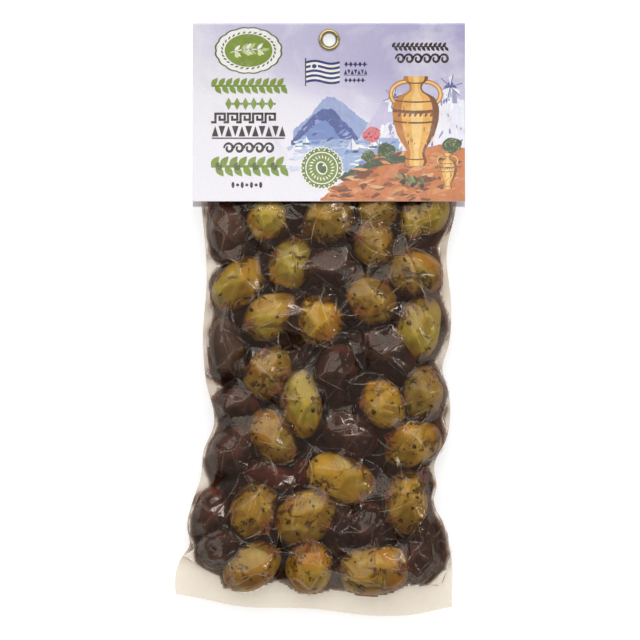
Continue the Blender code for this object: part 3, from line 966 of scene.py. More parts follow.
def wrapped_faces(rows, columns, first):
    """Quads of a grid whose last column joins the first."""
    i, j = np.meshgrid(np.arange(rows - 1), np.arange(columns), indexing="ij")
    a = (first + i * columns + j).ravel()
    b = (first + i * columns + (j + 1) % columns).ravel()
    return np.stack([a, b, b + columns, a + columns], axis=1)


def make_olives(name, rows, material, seed):
    """All olives of one kind in one mesh, with the juice depth over each point."""
    draw = np.random.default_rng(seed)
    points, shades, faces, count = [], [], [], 0
    for olive, top, dark in rows:
        places, shade = olive_points(olive, top, dark, draw)
        points.append(places)
        shades.append(shade)
        faces.append(wrapped_faces(OLIVE_ALONG + 1, OLIVE_AROUND, count))
        count += len(places)
    points = np.concatenate(points)
    shades = np.concatenate(shades)
    x, y, z = points.T
    settled = read_field(ABOVE, x, y)
    above = np.maximum(settled, plane_height(x, y)) + FILM_CLEAR
    below = read_field(BELOW, x, y)
    depth = np.where(z > seam_height(x, y), above - z, z - below)
    mesh = mesh_from(name, points, np.concatenate(faces))
    # The tone holds the skin colour, with the painted sheen on the crowns of green olives.
    store(mesh, "tone", shades)
    store(mesh, "cover", np.clip(depth - COVER_FROM, 0.0, COVER_DEPTH) / COVER_DEPTH)
    pouch_piece(name, mesh, material)


JUICE_CELL = 1.0
JUICE_TOP_Y = 72.0
JUICE_CLEAR = 0.5
JUICE_HALF = 0.1
JUICE_EDGE_HALF = 0.05
JUICE_DROP = 2.0
JUICE_MARGIN = -0.4
JUICE_RISE = 0.8
JUICE_DEPTH = 15.0


def make_juice(material):
    """Closed body of juice between the two films, lower than both by a little."""
    x, y = pouch_places(JUICE_CELL, JUICE_TOP_Y)
    top = upper_film(x, y)
    under = lower_film(x, y)
    lowered = np.minimum(top - JUICE_DROP, seam_height(x, y) + JUICE_RISE)
    wet = held_inside(x, y) > JUICE_MARGIN
    rows, columns = x.shape
    middle = (top + under) / 2.0
    lowered = np.where(wet, np.maximum(lowered, middle + JUICE_HALF), middle + JUICE_EDGE_HALF)
    raised = np.where(wet, np.minimum(under + JUICE_CLEAR, middle - JUICE_HALF), middle - JUICE_EDGE_HALF)
    cells = wet[:-1, :-1] | wet[1:, :-1] | wet[:-1, 1:] | wet[1:, 1:]
    upper_faces = grid_faces(rows, columns)[cells.ravel()]
    lower_faces = grid_faces(rows, columns, rows * columns)[cells.ravel()][:, ::-1]
    edges = np.stack([upper_faces, np.roll(upper_faces, -1, axis=1)], -1).reshape(-1, 2).tolist()
    shared = {(end, start) for start, end in edges}
    shift = rows * columns
    walls = [(end, start, start + shift, end + shift) for start, end in edges if (start, end) not in shared]
    points = np.concatenate([joined(x, y, lowered), joined(x, y, raised)])
    faces = np.concatenate([upper_faces, lower_faces, np.array(walls)])
    used = np.unique(faces)
    remap = np.zeros(len(points), dtype=np.int32)
    remap[used] = np.arange(len(used))
    thick = np.concatenate([(top - under).ravel()] * 2)[used]
    mesh = mesh_from("olive_juice", points[used], remap[faces])
    store(mesh, "thick", np.clip((thick - FILM_THICKNESS) / JUICE_DEPTH, 0.0, 1.0))
    pouch_piece("olive_juice", mesh, material)


FRONT_CELL = 0.56
BACK_CELL = 1.3
TAB_Y = 80.0
TAB_ROWS = 16
SEAL_FREE = 0.3
SEAL_FADE = 1.2
STAIN_LOW_Y = -122.0
STAIN_SPAN = 10.0
STAIN_REACH = 4.5
STAIN_AT_FOOT = 0.25
STAIN_SIDES = 0.12
STAIN_PATCHES = 0.35
STAIN_WAVES = (9.0, 30.0)
FILM_HOLE = 4.15


def make_film(material):
    """Front and back film, each one fine sheet, and the flat tab of both under the card."""
    for name, cell, height in (("film_front", FRONT_CELL, upper_film), ("film_back", BACK_CELL, lower_film)):
        x, y = pouch_places(cell, TAB_Y)
        z = height(x, y)
        rows, columns = x.shape
        tab_y = np.linspace(FILM_TOP_Y, TAB_Y, TAB_ROWS, endpoint=False)
        share = np.linspace(0.0, 1.0, columns)
        tab_x = smooth_through(LEFT_EDGE, tab_y)[:, None] * (1.0 - share)
        tab_x = tab_x + smooth_through(RIGHT_EDGE, tab_y)[:, None] * share
        tab_y = np.repeat(tab_y[:, None], columns, axis=1)
        side = 1.0 if height is upper_film else -1.0
        tab_z = seam_height(tab_x, tab_y) + side * FILM_THICKNESS / 2.0
        x = np.concatenate([tab_x, x])
        y = np.concatenate([tab_y, y])
        z = np.concatenate([tab_z, z])
        faces = grid_faces(rows + TAB_ROWS, columns)
        near_eyelet = np.hypot(x.ravel() - EYELET_X, y.ravel() - EYELET_Y) < FILM_HOLE
        faces = faces[~near_eyelet[faces].any(axis=1)]
        if side < 0.0:
            faces = faces[:, ::-1]
        mesh = mesh_from(name, joined(x, y, z), faces)
        olives, _ = olive_surfaces(x, y)
        clear = 1.0 - smooth_step((olives - seam_height(x, y) - SEAL_FREE) / SEAL_FADE)
        store(mesh, "seal", (seal_share(x, y) * clear).ravel())
        away = np.maximum(-held_inside(x, y), 0.0)
        sides = smooth_step((y - STAIN_LOW_Y) / STAIN_SPAN)
        patchy = 1.0 - STAIN_PATCHES + STAIN_PATCHES * waves(x, y, SEED + 9, *STAIN_WAVES)
        spread = STAIN_AT_FOOT + (1.0 - STAIN_AT_FOOT) * sides
        stain = np.exp(-away / (STAIN_REACH * spread)) * patchy * spread + STAIN_SIDES * sides
        store(mesh, "stain", np.clip(stain, 0.0, 1.0).ravel())
        pouch_piece(name, mesh, material)


# Tints of the fold lines: pale painted glints over green olives, fainter painted glints over dark olives and
# gaps, and reddish juice stains.
FOLD_GLINT = linear(226, 210, 166)
FOLD_GLINT_FAINT = linear(200, 184, 170)
FOLD_STAIN = linear(146, 76, 62)
OUTLINE_STAIN = linear(112, 66, 58)
FOLD_WIDTHS = (0.85, 0.9, 1.0)
# Strength of the painted glints: their mean, how much it pulses along a line, and the share left over dark
# olives and gaps.
FOLD_MEAN = 0.85
FOLD_PULSE = 0.45
FAINT_COVER = 0.62

# Kinds of fold line: width, tint and cover. The pale tints are painted glints on the creases, the reddish ones
# juice caught in the folds.
STROKE_LINE = ((0.22, 0.48), FOLD_GLINT, (0.3, 0.85))
OUTLINE_LINE = ((0.4, 0.8), OUTLINE_STAIN, (0.3, 0.8))
ARC_LINE = ((0.18, 0.34), FOLD_GLINT, (0.15, 0.5))
STAIN_LINE = ((0.7, 1.5), FOLD_STAIN, (0.28, 0.6))
PALE_PLEAT = ((0.16, 0.3), FOLD_GLINT, (0.2, 0.5))
STAIN_PLEAT = ((0.7, 1.9), FOLD_STAIN, (0.22, 0.54))

# How many fold lines there are, how far they run and how they stand on the film.
ARCS_PER_OLIVE = (0, 3)
STAINS_PER_OLIVE = (0, 2)
FANS_PER_OLIVE = (1, 4)
GAP_FOLD_SHARE = 0.8
PLEATS_PER_FAN = (4, 9)
STROKE_SHARE = 0.6
PALE_PLEAT_SHARE = 0.3
GAP_FOLD_ANGLE = (0.5, 1.1)
LONGEST_FOLD = 18.0
FOLD_HEIGHT = 0.1
STAIN_HEIGHT = 0.05
SHARP_CREASE = 0.25
FOLD_POINTS = 11
FOLD_SOFT = 0.2
FOLD_INSIDE = 0.5
FOLD_TOP_Y = 70.0
FOLD_TIP = 0.35
FOLD_PULSES = (0.6, 2.2)
FOLD_LIFT = 0.05
FOLD_OVER_CAD = 0.15


def crease_angles():
    """Angle between the two planes at each edge of the net."""
    normals = {}
    for face in NET_FACES:
        a, b, c = (np.array([*NET_PLACES[k], TAUT_HEIGHTS[k]]) for k in face)
        normal = np.cross(b - a, c - a)
        normal = normal / max(np.linalg.norm(normal), 1e-9)
        normal = normal if normal[2] > 0.0 else -normal
        for edge in closed(face):
            normals.setdefault(frozenset(edge), []).append(normal)
    return {edge: math.acos(min(1.0, float(pair[0] @ pair[1])))
            for edge, pair in normals.items() if len(pair) == 2}


def fold_paths():
    """Lines of sharp folds, with painted glints and juice stains: (points, width, height, tint, cover)."""
    draw = np.random.default_rng(SEED + 40)
    share = np.linspace(0.0, 1.0, FOLD_POINTS)
    bend = 4.0 * share * (1.0 - share)
    paths = []

    def add(line, widths, tint, covers):
        height = FOLD_HEIGHT if tint is FOLD_GLINT else STAIN_HEIGHT
        paths.append((line, draw.uniform(*widths), height, tint, draw.uniform(*covers)))

    def bowed(a, b, sway):
        """Line from a to b, moved sideways by sway times its length."""
        return np.outer(1.0 - share, a) + np.outer(share, b) + np.outer(sway, (a[1] - b[1], b[0] - a[0]))

    def on_olive(olive, along, across):
        return np.stack(olive_place(olive, along, across), axis=-1)

    for a, b, bow, _, _ in STROKES:
        if draw.uniform() <= STROKE_SHARE:
            add(bowed(a, b, -bow * bend), *STROKE_LINE)
    angles = crease_angles()
    for start, end in NET_EDGES:
        a, b = NET_PLACES[start], NET_PLACES[end]
        angle = angles.get(frozenset((start, end)), 0.0)
        over_gap = lies_over(*((a + b) / 2.0)[:, None])[0] == 0
        if over_gap and draw.uniform() < GAP_FOLD_SHARE:
            angle = max(angle, draw.uniform(*GAP_FOLD_ANGLE))
        if math.dist(a, b) > LONGEST_FOLD or angle < SHARP_CREASE * draw.uniform(0.8, 1.6):
            continue
        bow = draw.uniform(-0.07, 0.07)
        sway = draw.uniform(-0.035, 0.035) * np.sin(3.0 * math.pi * share)
        # Cover: how strong the painted glint is, growing with the angle of the crease.
        cover = min(0.15 + 0.7 * (angle - SHARP_CREASE), 0.75) * draw.uniform(0.6, 1.2)
        paths.append((bowed(a, b, bend * bow + sway), draw.uniform(0.22, 0.42), FOLD_HEIGHT, FOLD_GLINT, cover))
    for a, b in closed(outline_points()):
        add(bowed(a, b, 0.0 * share), *OUTLINE_LINE)
    for olive, _, dark in olive_rows():
        for _ in range(draw.integers(*ARCS_PER_OLIVE)):
            around = draw.uniform(0.0, TURN) + share * draw.uniform(0.7, 2.4)
            reach = draw.uniform(0.84, 1.04) + 0.03 * np.sin(around * 3.0 + draw.uniform(0.0, 6.0))
            add(on_olive(olive, reach * np.cos(around), reach * np.sin(around)), *ARC_LINE)
        if dark:
            continue
        for _ in range(draw.integers(*STAINS_PER_OLIVE)):
            bearing = draw.uniform(0.0, TURN)
            reach = share * draw.uniform(0.45, 0.8) + 0.25
            around = bearing + 0.35 * np.sin(share * 5.0 + draw.uniform(0.0, 6.0))
            add(on_olive(olive, reach * np.cos(around), reach * np.sin(around)), *STAIN_LINE)
        for _ in range(draw.integers(*FANS_PER_OLIVE)):
            bearing = draw.uniform(0.0, TURN)
            for _ in range(draw.integers(*PLEATS_PER_FAN)):
                lean = bearing + draw.uniform(-0.75, 0.75)
                inner = share * draw.uniform(0.3, 0.8)
                tip = turned(0.0, 0.0, inner, draw.uniform(-0.12, 0.12) * bend, lean)
                foot = turned(0.0, 0.0, 1.0 - share, 0.0, bearing)
                kind = PALE_PLEAT if draw.uniform() < PALE_PLEAT_SHARE else STAIN_PLEAT
                add(on_olive(olive, foot[0] + tip[0], foot[1] + tip[1]), *kind)
    return paths


def lies_over(x, y):
    """At each point: 2 over a green olive, 1 over a dark one, 0 over a gap."""
    kind = np.zeros(len(x), dtype=int)
    for olive, _, dark in olive_rows():
        kind = np.where(olive_reach(olive, x, y) < 1.0, np.maximum(kind, 1 if dark else 2), kind)
    return kind


def make_folds(material):
    """Sharp fold edges of the film as low ribs, thinner towards their ends, their painted glints brighter in
    places.
    """
    draw = np.random.default_rng(SEED + 41)
    points, faces, tints, covers, first = [], [], [], [], 0
    for line, width, height, tint, cover in fold_paths():
        x, y = line[:, 0], line[:, 1]
        outside = tint is not OUTLINE_STAIN and held_inside(x, y).min() < FOLD_INSIDE
        if outside or y.max() > FOLD_TOP_Y:
            continue
        kind = lies_over(x, y) if tint is FOLD_GLINT else np.full(len(x), 2)
        step = np.gradient(line, axis=0)
        step /= np.maximum(np.hypot(step[:, 0], step[:, 1]), 1e-6)[:, None]
        taper = np.sin(np.pi * np.linspace(0.04, 0.96, len(line)))
        half = width / 2.0 * (FOLD_TIP + (1.0 - FOLD_TIP) * taper) * np.take(FOLD_WIDTHS, kind)
        side = np.stack([-step[:, 1], step[:, 0]], axis=-1) * half[:, None]
        count = len(line)
        for shift, rise in ((side, 0.0), (side * 0.0, height), (-side, 0.0)):
            points.append(np.column_stack([line + shift, np.full(count, rise)]))
        faces += [(a, a + count, a + count + 1, a + 1)
                  for a in (first + row * count + k for k in range(count - 1) for row in (0, 1))]
        first += 3 * count
        # Painted glints take the fainter tint over dark olives and gaps.
        shade = np.where(kind[:, None] == 2, np.array([tint]), np.array([FOLD_GLINT_FAINT]))
        tints.append(np.tile(shade, (3, 1)))
        # Cover along each line: it pulses on all but the FOLD_STAIN lines, and painted glints keep less of it
        # over dark olives and gaps.
        pulse = np.sin(TURN * (np.linspace(0.0, draw.uniform(*FOLD_PULSES), count) + draw.uniform()))
        middle = cover * taper * (1.0 if tint is FOLD_STAIN else FOLD_MEAN + FOLD_PULSE * pulse)
        middle = middle * np.where(kind == 2, 1.0, FAINT_COVER)
        soft = middle * (0.0 if tint is FOLD_STAIN else FOLD_SOFT)
        covers.append(np.concatenate([soft, middle, soft]))
    points = np.concatenate(points)
    film = upper_film(points[:, 0], points[:, 1])
    points[:, 2] = np.minimum(film + FOLD_LIFT + points[:, 2], CAD_TOP + FOLD_OVER_CAD)
    mesh = mesh_from("fold_glints_and_stains", points, faces)
    store(mesh, "tint", np.concatenate(tints))
    store(mesh, "haze", np.concatenate(covers))
    pouch_piece("fold_glints_and_stains", mesh, material)


def fold_look():
    """Sharp fold of clear film: a thin pale line of painted glint, or a reddish one where juice is caught in
    it.
    """
    nodes = Nodes("film_fold")
    return nodes.finish(Base_Color=nodes.colour("tint"), Roughness=0.3, Alpha=nodes.value("haze"))


HERB_COUNT = 470
HERB_CLUSTERS = 2
HERB_SPREAD = 2.4
CLUSTER_SHARE = 0.5
CLUSTER_REACH = 0.72
HERB_REACH = 0.92
HERB_ON_DARK = 0.35
HERB_LOW_Y = -20.0
HERB_LOW = 1.6
HERB_HIGH = 0.7
HERB_SIZES = [0.35, 0.6, 0.95, 1.4]
HERB_SIZE_SHARES = [0.3, 0.33, 0.24, 0.13]
HERB_CORNERS = 7
HERB_SLIMS = (0.45, 0.95)
HERB_RAGGED = (0.65, 1.15)
HERB_STEEPEST = 3.0
HERB_LIFT = 0.06
HERB_CROWN = 0.05
HERB_THICKNESS = 0.2


def make_herbs(material):
    """Crumbled herb flakes lying on the olives under the film, partly in clusters."""
    draw = np.random.default_rng(SEED + 20)
    points = []
    faces = []
    rows = olive_rows()
    weights = np.array([(HERB_ON_DARK if dark else 1.0) * (HERB_LOW if olive[1] < HERB_LOW_Y else HERB_HIGH)
                        for olive, _, dark in rows])
    bearings = draw.uniform(0.0, TURN, (len(rows), HERB_CLUSTERS))
    for _ in range(HERB_COUNT):
        chosen = draw.choice(len(rows), p=weights / weights.sum())
        reach = HERB_REACH * math.sqrt(draw.uniform(0.02, 1.0))
        around = draw.uniform(0.0, TURN)
        spread = np.zeros(2)
        if draw.uniform() < CLUSTER_SHARE:
            reach = CLUSTER_REACH
            around = bearings[chosen, draw.integers(HERB_CLUSTERS)]
            spread = HERB_SPREAD * draw.normal(size=2)
        middle = olive_place(rows[chosen][0], reach * math.cos(around), reach * math.sin(around)) + spread
        size = draw.choice(HERB_SIZES, p=HERB_SIZE_SHARES)
        slim = draw.uniform(*HERB_SLIMS)
        lean = draw.uniform(0.0, math.pi)
        ring = []
        for k in range(HERB_CORNERS):
            bearing = TURN * k / HERB_CORNERS
            radius = size * draw.uniform(*HERB_RAGGED)
            ring.append(turned(*middle, radius * math.cos(bearing), radius * slim * math.sin(bearing), lean))
        ring = np.array([*ring, middle])
        olives, _ = olive_surfaces(*ring.T)
        if olives.max() - olives.min() > HERB_STEEPEST * size:
            continue
        tops = olives + HERB_LIFT
        tops[-1] += HERB_CROWN
        first = len(points)
        centre = first + HERB_CORNERS
        points += [(*place, top) for place, top in zip(ring, tops)]
        points += [(*place, top - HERB_THICKNESS) for place, top in zip(ring[:-1], tops)]
        for k in range(HERB_CORNERS):
            following = (k + 1) % HERB_CORNERS
            faces.append((first + k, first + following, centre))
            faces.append((first + k, centre + 1 + k, centre + 1 + following))
            faces.append((first + k, centre + 1 + following, first + following))
    mesh = mesh_from("herb_flakes", points, faces, smooth=False)
    pouch_piece("herb_flakes", mesh, material)


def brass_look():
    """Stamped brass with fine scratches, and painted shade darkening it towards the bore."""
    nodes = Nodes("stamped_brass")
    wear = nodes.noise(1600.0, 3.0, 0.6)
    tint = nodes.ramp(wear, [(0.3, linear(158, 138, 88)), (0.7, linear(204, 186, 132))])
    # Painted shade: dark brown within about 3.9 mm of the eyelet's middle, full within 3 mm.
    away = nodes.vector("DISTANCE", nodes.level(nodes.place()), (EYELET_X * MM, EYELET_Y * MM, 0.0))
    reach = nodes.math("MULTIPLY", away.outputs["Value"], 100.0)
    tint = nodes.mix(nodes.ramp(reach, [(0.3, 1.0), (0.345, 0.8), (0.385, 0.0)]), tint, linear(62, 50, 30))
    return nodes.finish(Base_Color=tint, Metallic=1.0, Roughness=nodes.ramp(wear, [(0.3, 0.2), (0.7, 0.34)]),
                        Normal=nodes.bump(wear, 0.12, 0.0001))


def card_look():
    """Coated card with a pale sky wash, lilac to the right, and soft clouds."""
    nodes = Nodes("sky_wash")
    split = nodes.add("ShaderNodeSeparateXYZ", [nodes.place()])
    across = nodes.span(split.outputs["X"], CARD_LOW[0] * MM, CARD_HIGH[0] * MM)
    up = nodes.span(split.outputs["Y"], CARD_LOW[1] * MM, CARD_HIGH[1] * MM)
    sky = nodes.span(nodes.math("ADD", up, nodes.math("MULTIPLY", across, 0.5)), 0.58, 1.12, "SMOOTHSTEP")
    sky = nodes.math("MULTIPLY", sky, nodes.math("ADD", 0.5, nodes.math("MULTIPLY", across, 0.5)))
    wash = nodes.ramp(sky, [(0.0, linear(242, 238, 244)), (0.22, linear(238, 234, 243)),
                            (0.37, linear(220, 214, 234)), (0.65, linear(204, 198, 224)),
                            (1.0, linear(178, 170, 209))])
    wash = nodes.mottle(nodes.noise(26.0, 5.0, 0.6, 0.4), 0.5, 0.68, wash, linear(246, 244, 248), 0.6)
    wash = nodes.mottle(nodes.noise(34.0, 4.0, 0.65, 0.8), 0.58, 0.8, wash, linear(190, 184, 212), 0.3)
    grain = nodes.noise(1400.0, 2.0)
    wash = nodes.mix(0.26, wash, nodes.ramp(grain, [(0.3, 0.4), (0.7, 0.6)]), "MULTIPLY")
    return nodes.finish(Base_Color=wash, Roughness=0.42, Normal=nodes.bump(grain, 0.03, 0.0001))


# Inks of the card's print, as sRGB, 0 to 255.
LEAF_GREEN = (128, 152, 48)
DEEP_GREEN = (92, 104, 54)
PALE_GREEN = (196, 208, 140)
WORD_BROWN = (54, 34, 30)
FLAG_BLUE = (52, 56, 122)
ROW_BLUE = (46, 44, 92)
PAPER = (248, 248, 240)
HILL_TONES = [(120, 142, 196), (84, 96, 156), (158, 172, 212)]
SEA_TONES = [(160, 180, 216), (190, 204, 230), (122, 146, 200)]
CLIFF_TONES = [(240, 238, 246), (204, 198, 224), (166, 156, 196), (252, 250, 252)]
CLAY_TONES = [(236, 178, 88), (246, 206, 130), (196, 126, 54), (128, 76, 38)]
GROUND_TONES = [(204, 122, 66), (216, 146, 86), (160, 92, 50), (222, 172, 126), (126, 72, 42)]
FIELD_TONES = [(112, 124, 62), (70, 84, 58), (150, 156, 84)]
BLOSSOM_TONES = [(196, 74, 88), (222, 120, 128), (160, 50, 66)]
PRINT_LIFT = 0.05
LAYER_LIFT = 0.012
PRINT_STEP = 3.2
PRINT_MARGIN = 0.15
PRINT_SLIVER = 1e-7
INK_SPREAD = (0.85, 0.95)
CARD_WIDE = CARD_HIGH[0] - CARD_LOW[0]
CARD_FRONT = [corner.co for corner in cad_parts["header_card"].data.vertices if corner.co.z > 15.0 * MM]
CARD_FOOT = min(corner.y for corner in CARD_FRONT) / MM
CARD_LEVEL = STACK_Z + FILM_THICKNESS / 2.0 + GAP + CARD_THICKNESS / 2.0

SHAPES = []


def fill(points, ink, layer):
    """Flat shape on the card: points as (across, up) from the card's lower left corner."""
    SHAPES.append(([tuple(point) for point in points], ink, layer))


def patch(x, y, size, corners, ink, layer):
    """Flat shape with its corners in shares of size from x, y."""
    fill([(x + size * a, y + size * b) for a, b in corners], ink, layer)


def strip(low, high, ink, layer):
    """Row of flat quads between two lines of as many points."""
    for k in range(len(low) - 1):
        fill([low[k], low[k + 1], high[k + 1], high[k]], ink, layer)


def blob(x, y, wide, high, ink, layer, turn=0.0, count=24, wobble=0.0, seed=0):
    """Ellipse, with an uneven edge where wobble is over 0."""
    draw = np.random.default_rng(SEED + seed)
    phases = draw.uniform(0.0, TURN, 3)
    angle = math.radians(turn)
    points = []
    for k in range(count):
        around = TURN * k / count
        reach = 1.0 + wobble * sum(math.sin((n + 2) * around + phases[n]) for n in range(3)) / 2.0
        points.append(turned(x, y, wide / 2.0 * reach * math.cos(around), high / 2.0 * reach * math.sin(around),
                             angle))
    fill(points, ink, layer)


def stroke(path, width, ink, layer, ends=1.0):
    """Line of the given width along a path, thinner towards its ends where ends is under 1."""
    count = len(path)
    left = []
    right = []
    for k, (x, y) in enumerate(path):
        ahead = path[min(k + 1, count - 1)]
        behind = path[max(k - 1, 0)]
        dx, dy = ahead[0] - behind[0], ahead[1] - behind[1]
        length = math.hypot(dx, dy)
        share = abs(2.0 * k / (count - 1) - 1.0)
        half = width / 2.0 * (1.0 - (1.0 - ends) * share * share)
        left.append((x - dy / length * half, y + dx / length * half))
        right.append((x + dy / length * half, y - dx / length * half))
    for k in range(count - 1):
        fill([left[k], right[k], right[k + 1], left[k + 1]], ink, layer)


def leaf(x, y, length, width, turn, ink, layer):
    """Pointed leaf that starts at x, y."""
    angle = math.radians(turn)
    points = []
    for side in (1.0, -1.0):
        for k in range(6):
            t = k / 6.0 if side > 0.0 else 1.0 - k / 6.0
            points.append(turned(x, y, t * length, side * width / 2.0 * math.sin(math.pi * t ** 0.85), angle))
    fill(points, ink, layer)


def curve(x0, y0, x1, y1, bow, count=9):
    """Points of a bowed line."""
    wide, high = x1 - x0, y1 - y0
    places = [(k / (count - 1), 4.0 * bow * k * (count - 1 - k) / (count - 1) ** 2) for k in range(count)]
    return [(x0 + wide * t - high * off, y0 + high * t + wide * off) for t, off in places]


def sprig(x, y, length, turn, pairs, size, inks, layer, fruit=None):
    """Stem with leaves in pairs and, with fruit, small olives in the leaf forks."""
    angle = math.radians(turn)
    end = (x + length * math.cos(angle), y + length * math.sin(angle))
    path = curve(x, y, end[0], end[1], 0.06)
    stroke(path, size * 0.14, inks[0], layer, 0.5)
    for k in range(pairs):
        place = path[1 + round(k * (len(path) - 3) / max(pairs - 1, 1))]
        for side in (1.0, -1.0):
            leaf(place[0], place[1], size, size * 0.36, turn + side * 42.0, inks[k % len(inks)], layer)
        if fruit and k % 2 == 0:
            blob(place[0] + size * 0.3 * math.cos(angle), place[1] - size * 0.42, size * 0.5, size * 0.62,
                 fruit, layer + 1, turn)
    leaf(end[0], end[1], size, size * 0.36, turn, inks[-1], layer)


def garland(low, high, base, height, ink, layer, step):
    """Row of leaves that lean to the right above and below a line."""
    stroke([(low, base + height / 2.0), (high, base + height / 2.0)], height * 0.13, ink, layer)
    for x in np.arange(low, high - step * 0.6, step):
        leaf(x, base + height / 2.0, height * 0.64, height * 0.34, 52.0, ink, layer)
        leaf(x + step / 2.0, base + height / 2.0, height * 0.64, height * 0.34, -52.0, ink, layer)


def diamonds(low, high, base, height, ink, layer, step):
    """Chain of diamonds, each with a dot beside it."""
    middle = base + height / 2.0
    for x in np.arange(low + step / 2.0, high, step):
        fill([(x - step * 0.4, middle), (x, base), (x + step * 0.4, middle), (x, base + height)], ink, layer)
        blob(x + step / 2.0, middle, height * 0.2, height * 0.2, ink, layer, count=10)


def meander(low, high, base, height, ink, layer):
    """Key border of squared hooks."""
    line = height / 4.8
    for x in np.arange(low, high - height * 0.9, height * 1.15):
        corners = [(0.0, 0.0), (0.0, 1.0), (1.0, 1.0), (1.0, 0.3), (0.45, 0.3), (0.45, 0.62)]
        for (ax, ay), (bx, by) in zip(corners, corners[1:]):
            x0, x1 = sorted((x + ax * height * 0.85, x + bx * height * 0.85))
            y0, y1 = sorted((base + ay * (height - line), base + by * (height - line)))
            fill([(x0, y0), (x1 + line, y0), (x1 + line, y1 + line), (x0, y1 + line)], ink, layer)
        foot = x - height * 0.3
        fill([(x, base), (foot, base), (foot, base + line), (x, base + line)], ink, layer)


def zigzag(low, high, base, height, ink, layer, step):
    """Row of filled triangles, tips up and down by turns, with a thin line under them."""
    for k, x in enumerate(np.arange(low, high - step * 0.5, step)):
        tip = base + height if k % 2 == 0 else base + height * 0.18
        foot = base + height * 0.18 if k % 2 == 0 else base + height
        fill([(x, foot), (x + step, foot), (x + step / 2.0, tip)], ink, layer)
    fill([(low, base), (high, base), (high, base + height * 0.1), (low, base + height * 0.1)], ink, layer)


def scrolls(low, high, base, height, ink, layer, step):
    """Running wave of small curls."""
    for x in np.arange(low + step / 2.0, high, step):
        share = np.linspace(0.0, 1.0, 15)
        around = math.pi * (1.0 + 2.3 * share)
        radius = height / 2.0 * (1.0 - 0.62 * share)
        path = zip(x + radius * np.cos(around) * 0.9, base + height / 2.0 - radius * np.sin(around))
        stroke(list(path), height * 0.24, ink, layer, 0.6)


def emblem(x, y):
    """Scalloped green plaque with an olive sprig."""
    plaque = ((1.0, 0.035, DEEP_GREEN, 1), (0.95, 0.035, PAPER, 2), (0.72, 0.0, LEAF_GREEN, 4))
    for grow, scallop, ink, layer in plaque:
        points = []
        for around in full_turn(96):
            reach = grow * (1.0 + scallop * abs(math.sin(8.0 * around)))
            points.append((x + 15.8 * reach * math.cos(around), y + 10.9 * reach * math.sin(around)))
        fill(points, ink, layer)
    for around in full_turn(30):
        turn = math.degrees(math.atan2(10.9 * math.cos(around), -15.8 * math.sin(around)))
        leaf(x + 13.1 * math.cos(around), y + 9.05 * math.sin(around), 1.9, 0.8, turn + 30.0, DEEP_GREEN, 3)
    sprig(x - 8.6, y - 1.0, 14.6, 5.0, 5, 4.2, [PAPER, PALE_GREEN], 5, (222, 228, 160))


def flag(x, y):
    """Waving flag of blue and white stripes on a thin pole."""
    wide, high, stripes, steps = 16.0, 10.4, 9, 10
    for k in range(stripes):
        shares = [n / steps for n in range(steps + 1)]
        low, top = ([(x + share * wide, y + edge / stripes * high + 0.7 * math.sin(TURN * share))
                     for share in shares] for edge in (k, k + 1))
        strip(low, top, PAPER if k % 2 else FLAG_BLUE, 2)
    stroke([(x - 0.3, y - 1.5), (x - 0.3, y + high + 1.5)], 0.5, WORD_BROWN, 3)
    blob(x + wide * 0.24, y + high * 0.72 + 0.5, 3.6, 3.2, PAPER, 3)
    blob(x + wide * 0.24, y + high * 0.72 + 0.5, 2.2, 2.0, FLAG_BLUE, 4)


def seal(x, y):
    """Round green seal with a toothed edge, dotted ring and one olive."""
    teeth = 34
    for grow, ink, layer in ((1.0, PAPER, 7), (0.95, (112, 132, 58), 8)):
        reach = (10.5 * grow, 9.7 * grow)
        fill([turned(x, y, reach[k % 2], 0.0, math.pi * k / teeth) for k in range(2 * teeth)], ink, layer)
    blob(x, y, 15.6, 15.6, PAPER, 9, count=40)
    blob(x, y, 14.6, 14.6, (122, 142, 60), 10, count=40)
    for around in full_turn(22):
        blob(*turned(x, y, 8.75, 0.0, around), 0.8, 0.8, PAPER, 9, count=8)
        leaf(*turned(x, y, 4.4, 0.0, around), 2.0, 0.6, math.degrees(around) + 20.0, PAPER, 11)
    blob(x, y, 5.2, 6.6, PAPER, 11, 25.0)
    blob(x + 0.1, y, 4.0, 5.4, DEEP_GREEN, 12, 25.0)
    blob(x + 0.9, y + 1.3, 1.0, 1.0, PAPER, 13, count=10)


def ridge(low, high, heights, foot, ink, layer, seed, rough=0.5):
    """Band from foot up to a skyline through the given heights, with a rough upper edge."""
    draw = np.random.default_rng(SEED + seed)
    at = np.linspace(low, high, 46)
    stations = list(zip(np.linspace(low, high, len(heights)), heights))
    line = smooth_through(stations, at) + rough * draw.uniform(-1.0, 1.0, len(at))
    feet = smooth_through([(low, foot[0]), ((low + high) / 2.0, foot[1]), (high, foot[2])], at)
    strip(list(zip(at, feet)), list(zip(at, np.maximum(line, feet + 0.05))), ink, layer)


def dabs(count, low, high, under, over, tones, layer, seed, size=(1.2, 3.6), slope=0.0):
    """Loose brush dabs between two skylines."""
    draw = np.random.default_rng(SEED + seed)
    for k in range(count):
        x = draw.uniform(low, high)
        y = draw.uniform(under(x), over(x))
        wide = draw.uniform(*size)
        tone = tones[draw.integers(len(tones))]
        turn = slope + draw.uniform(-18.0, 18.0)
        if x - wide / 2.0 < low or x + wide / 2.0 > high:
            continue
        blob(x, y, wide, wide * draw.uniform(0.16, 0.4), tone, layer + 0.02 * k, turn, 12, 0.25, seed + k)


def sail(x, y, size):
    """Small boat with a white sail."""
    patch(x, y, size, [(0.0, 0.0), (0.0, 1.0), (0.55, 0.12)], PAPER, 4)
    patch(x, y, size, [(-0.1, 0.05), (-0.1, 0.8), (-0.42, 0.12)], (222, 226, 240), 4)
    patch(x, y, size, [(-0.5, -0.02), (0.6, -0.02), (0.4, -0.2), (-0.35, -0.2)], (70, 74, 130), 4)


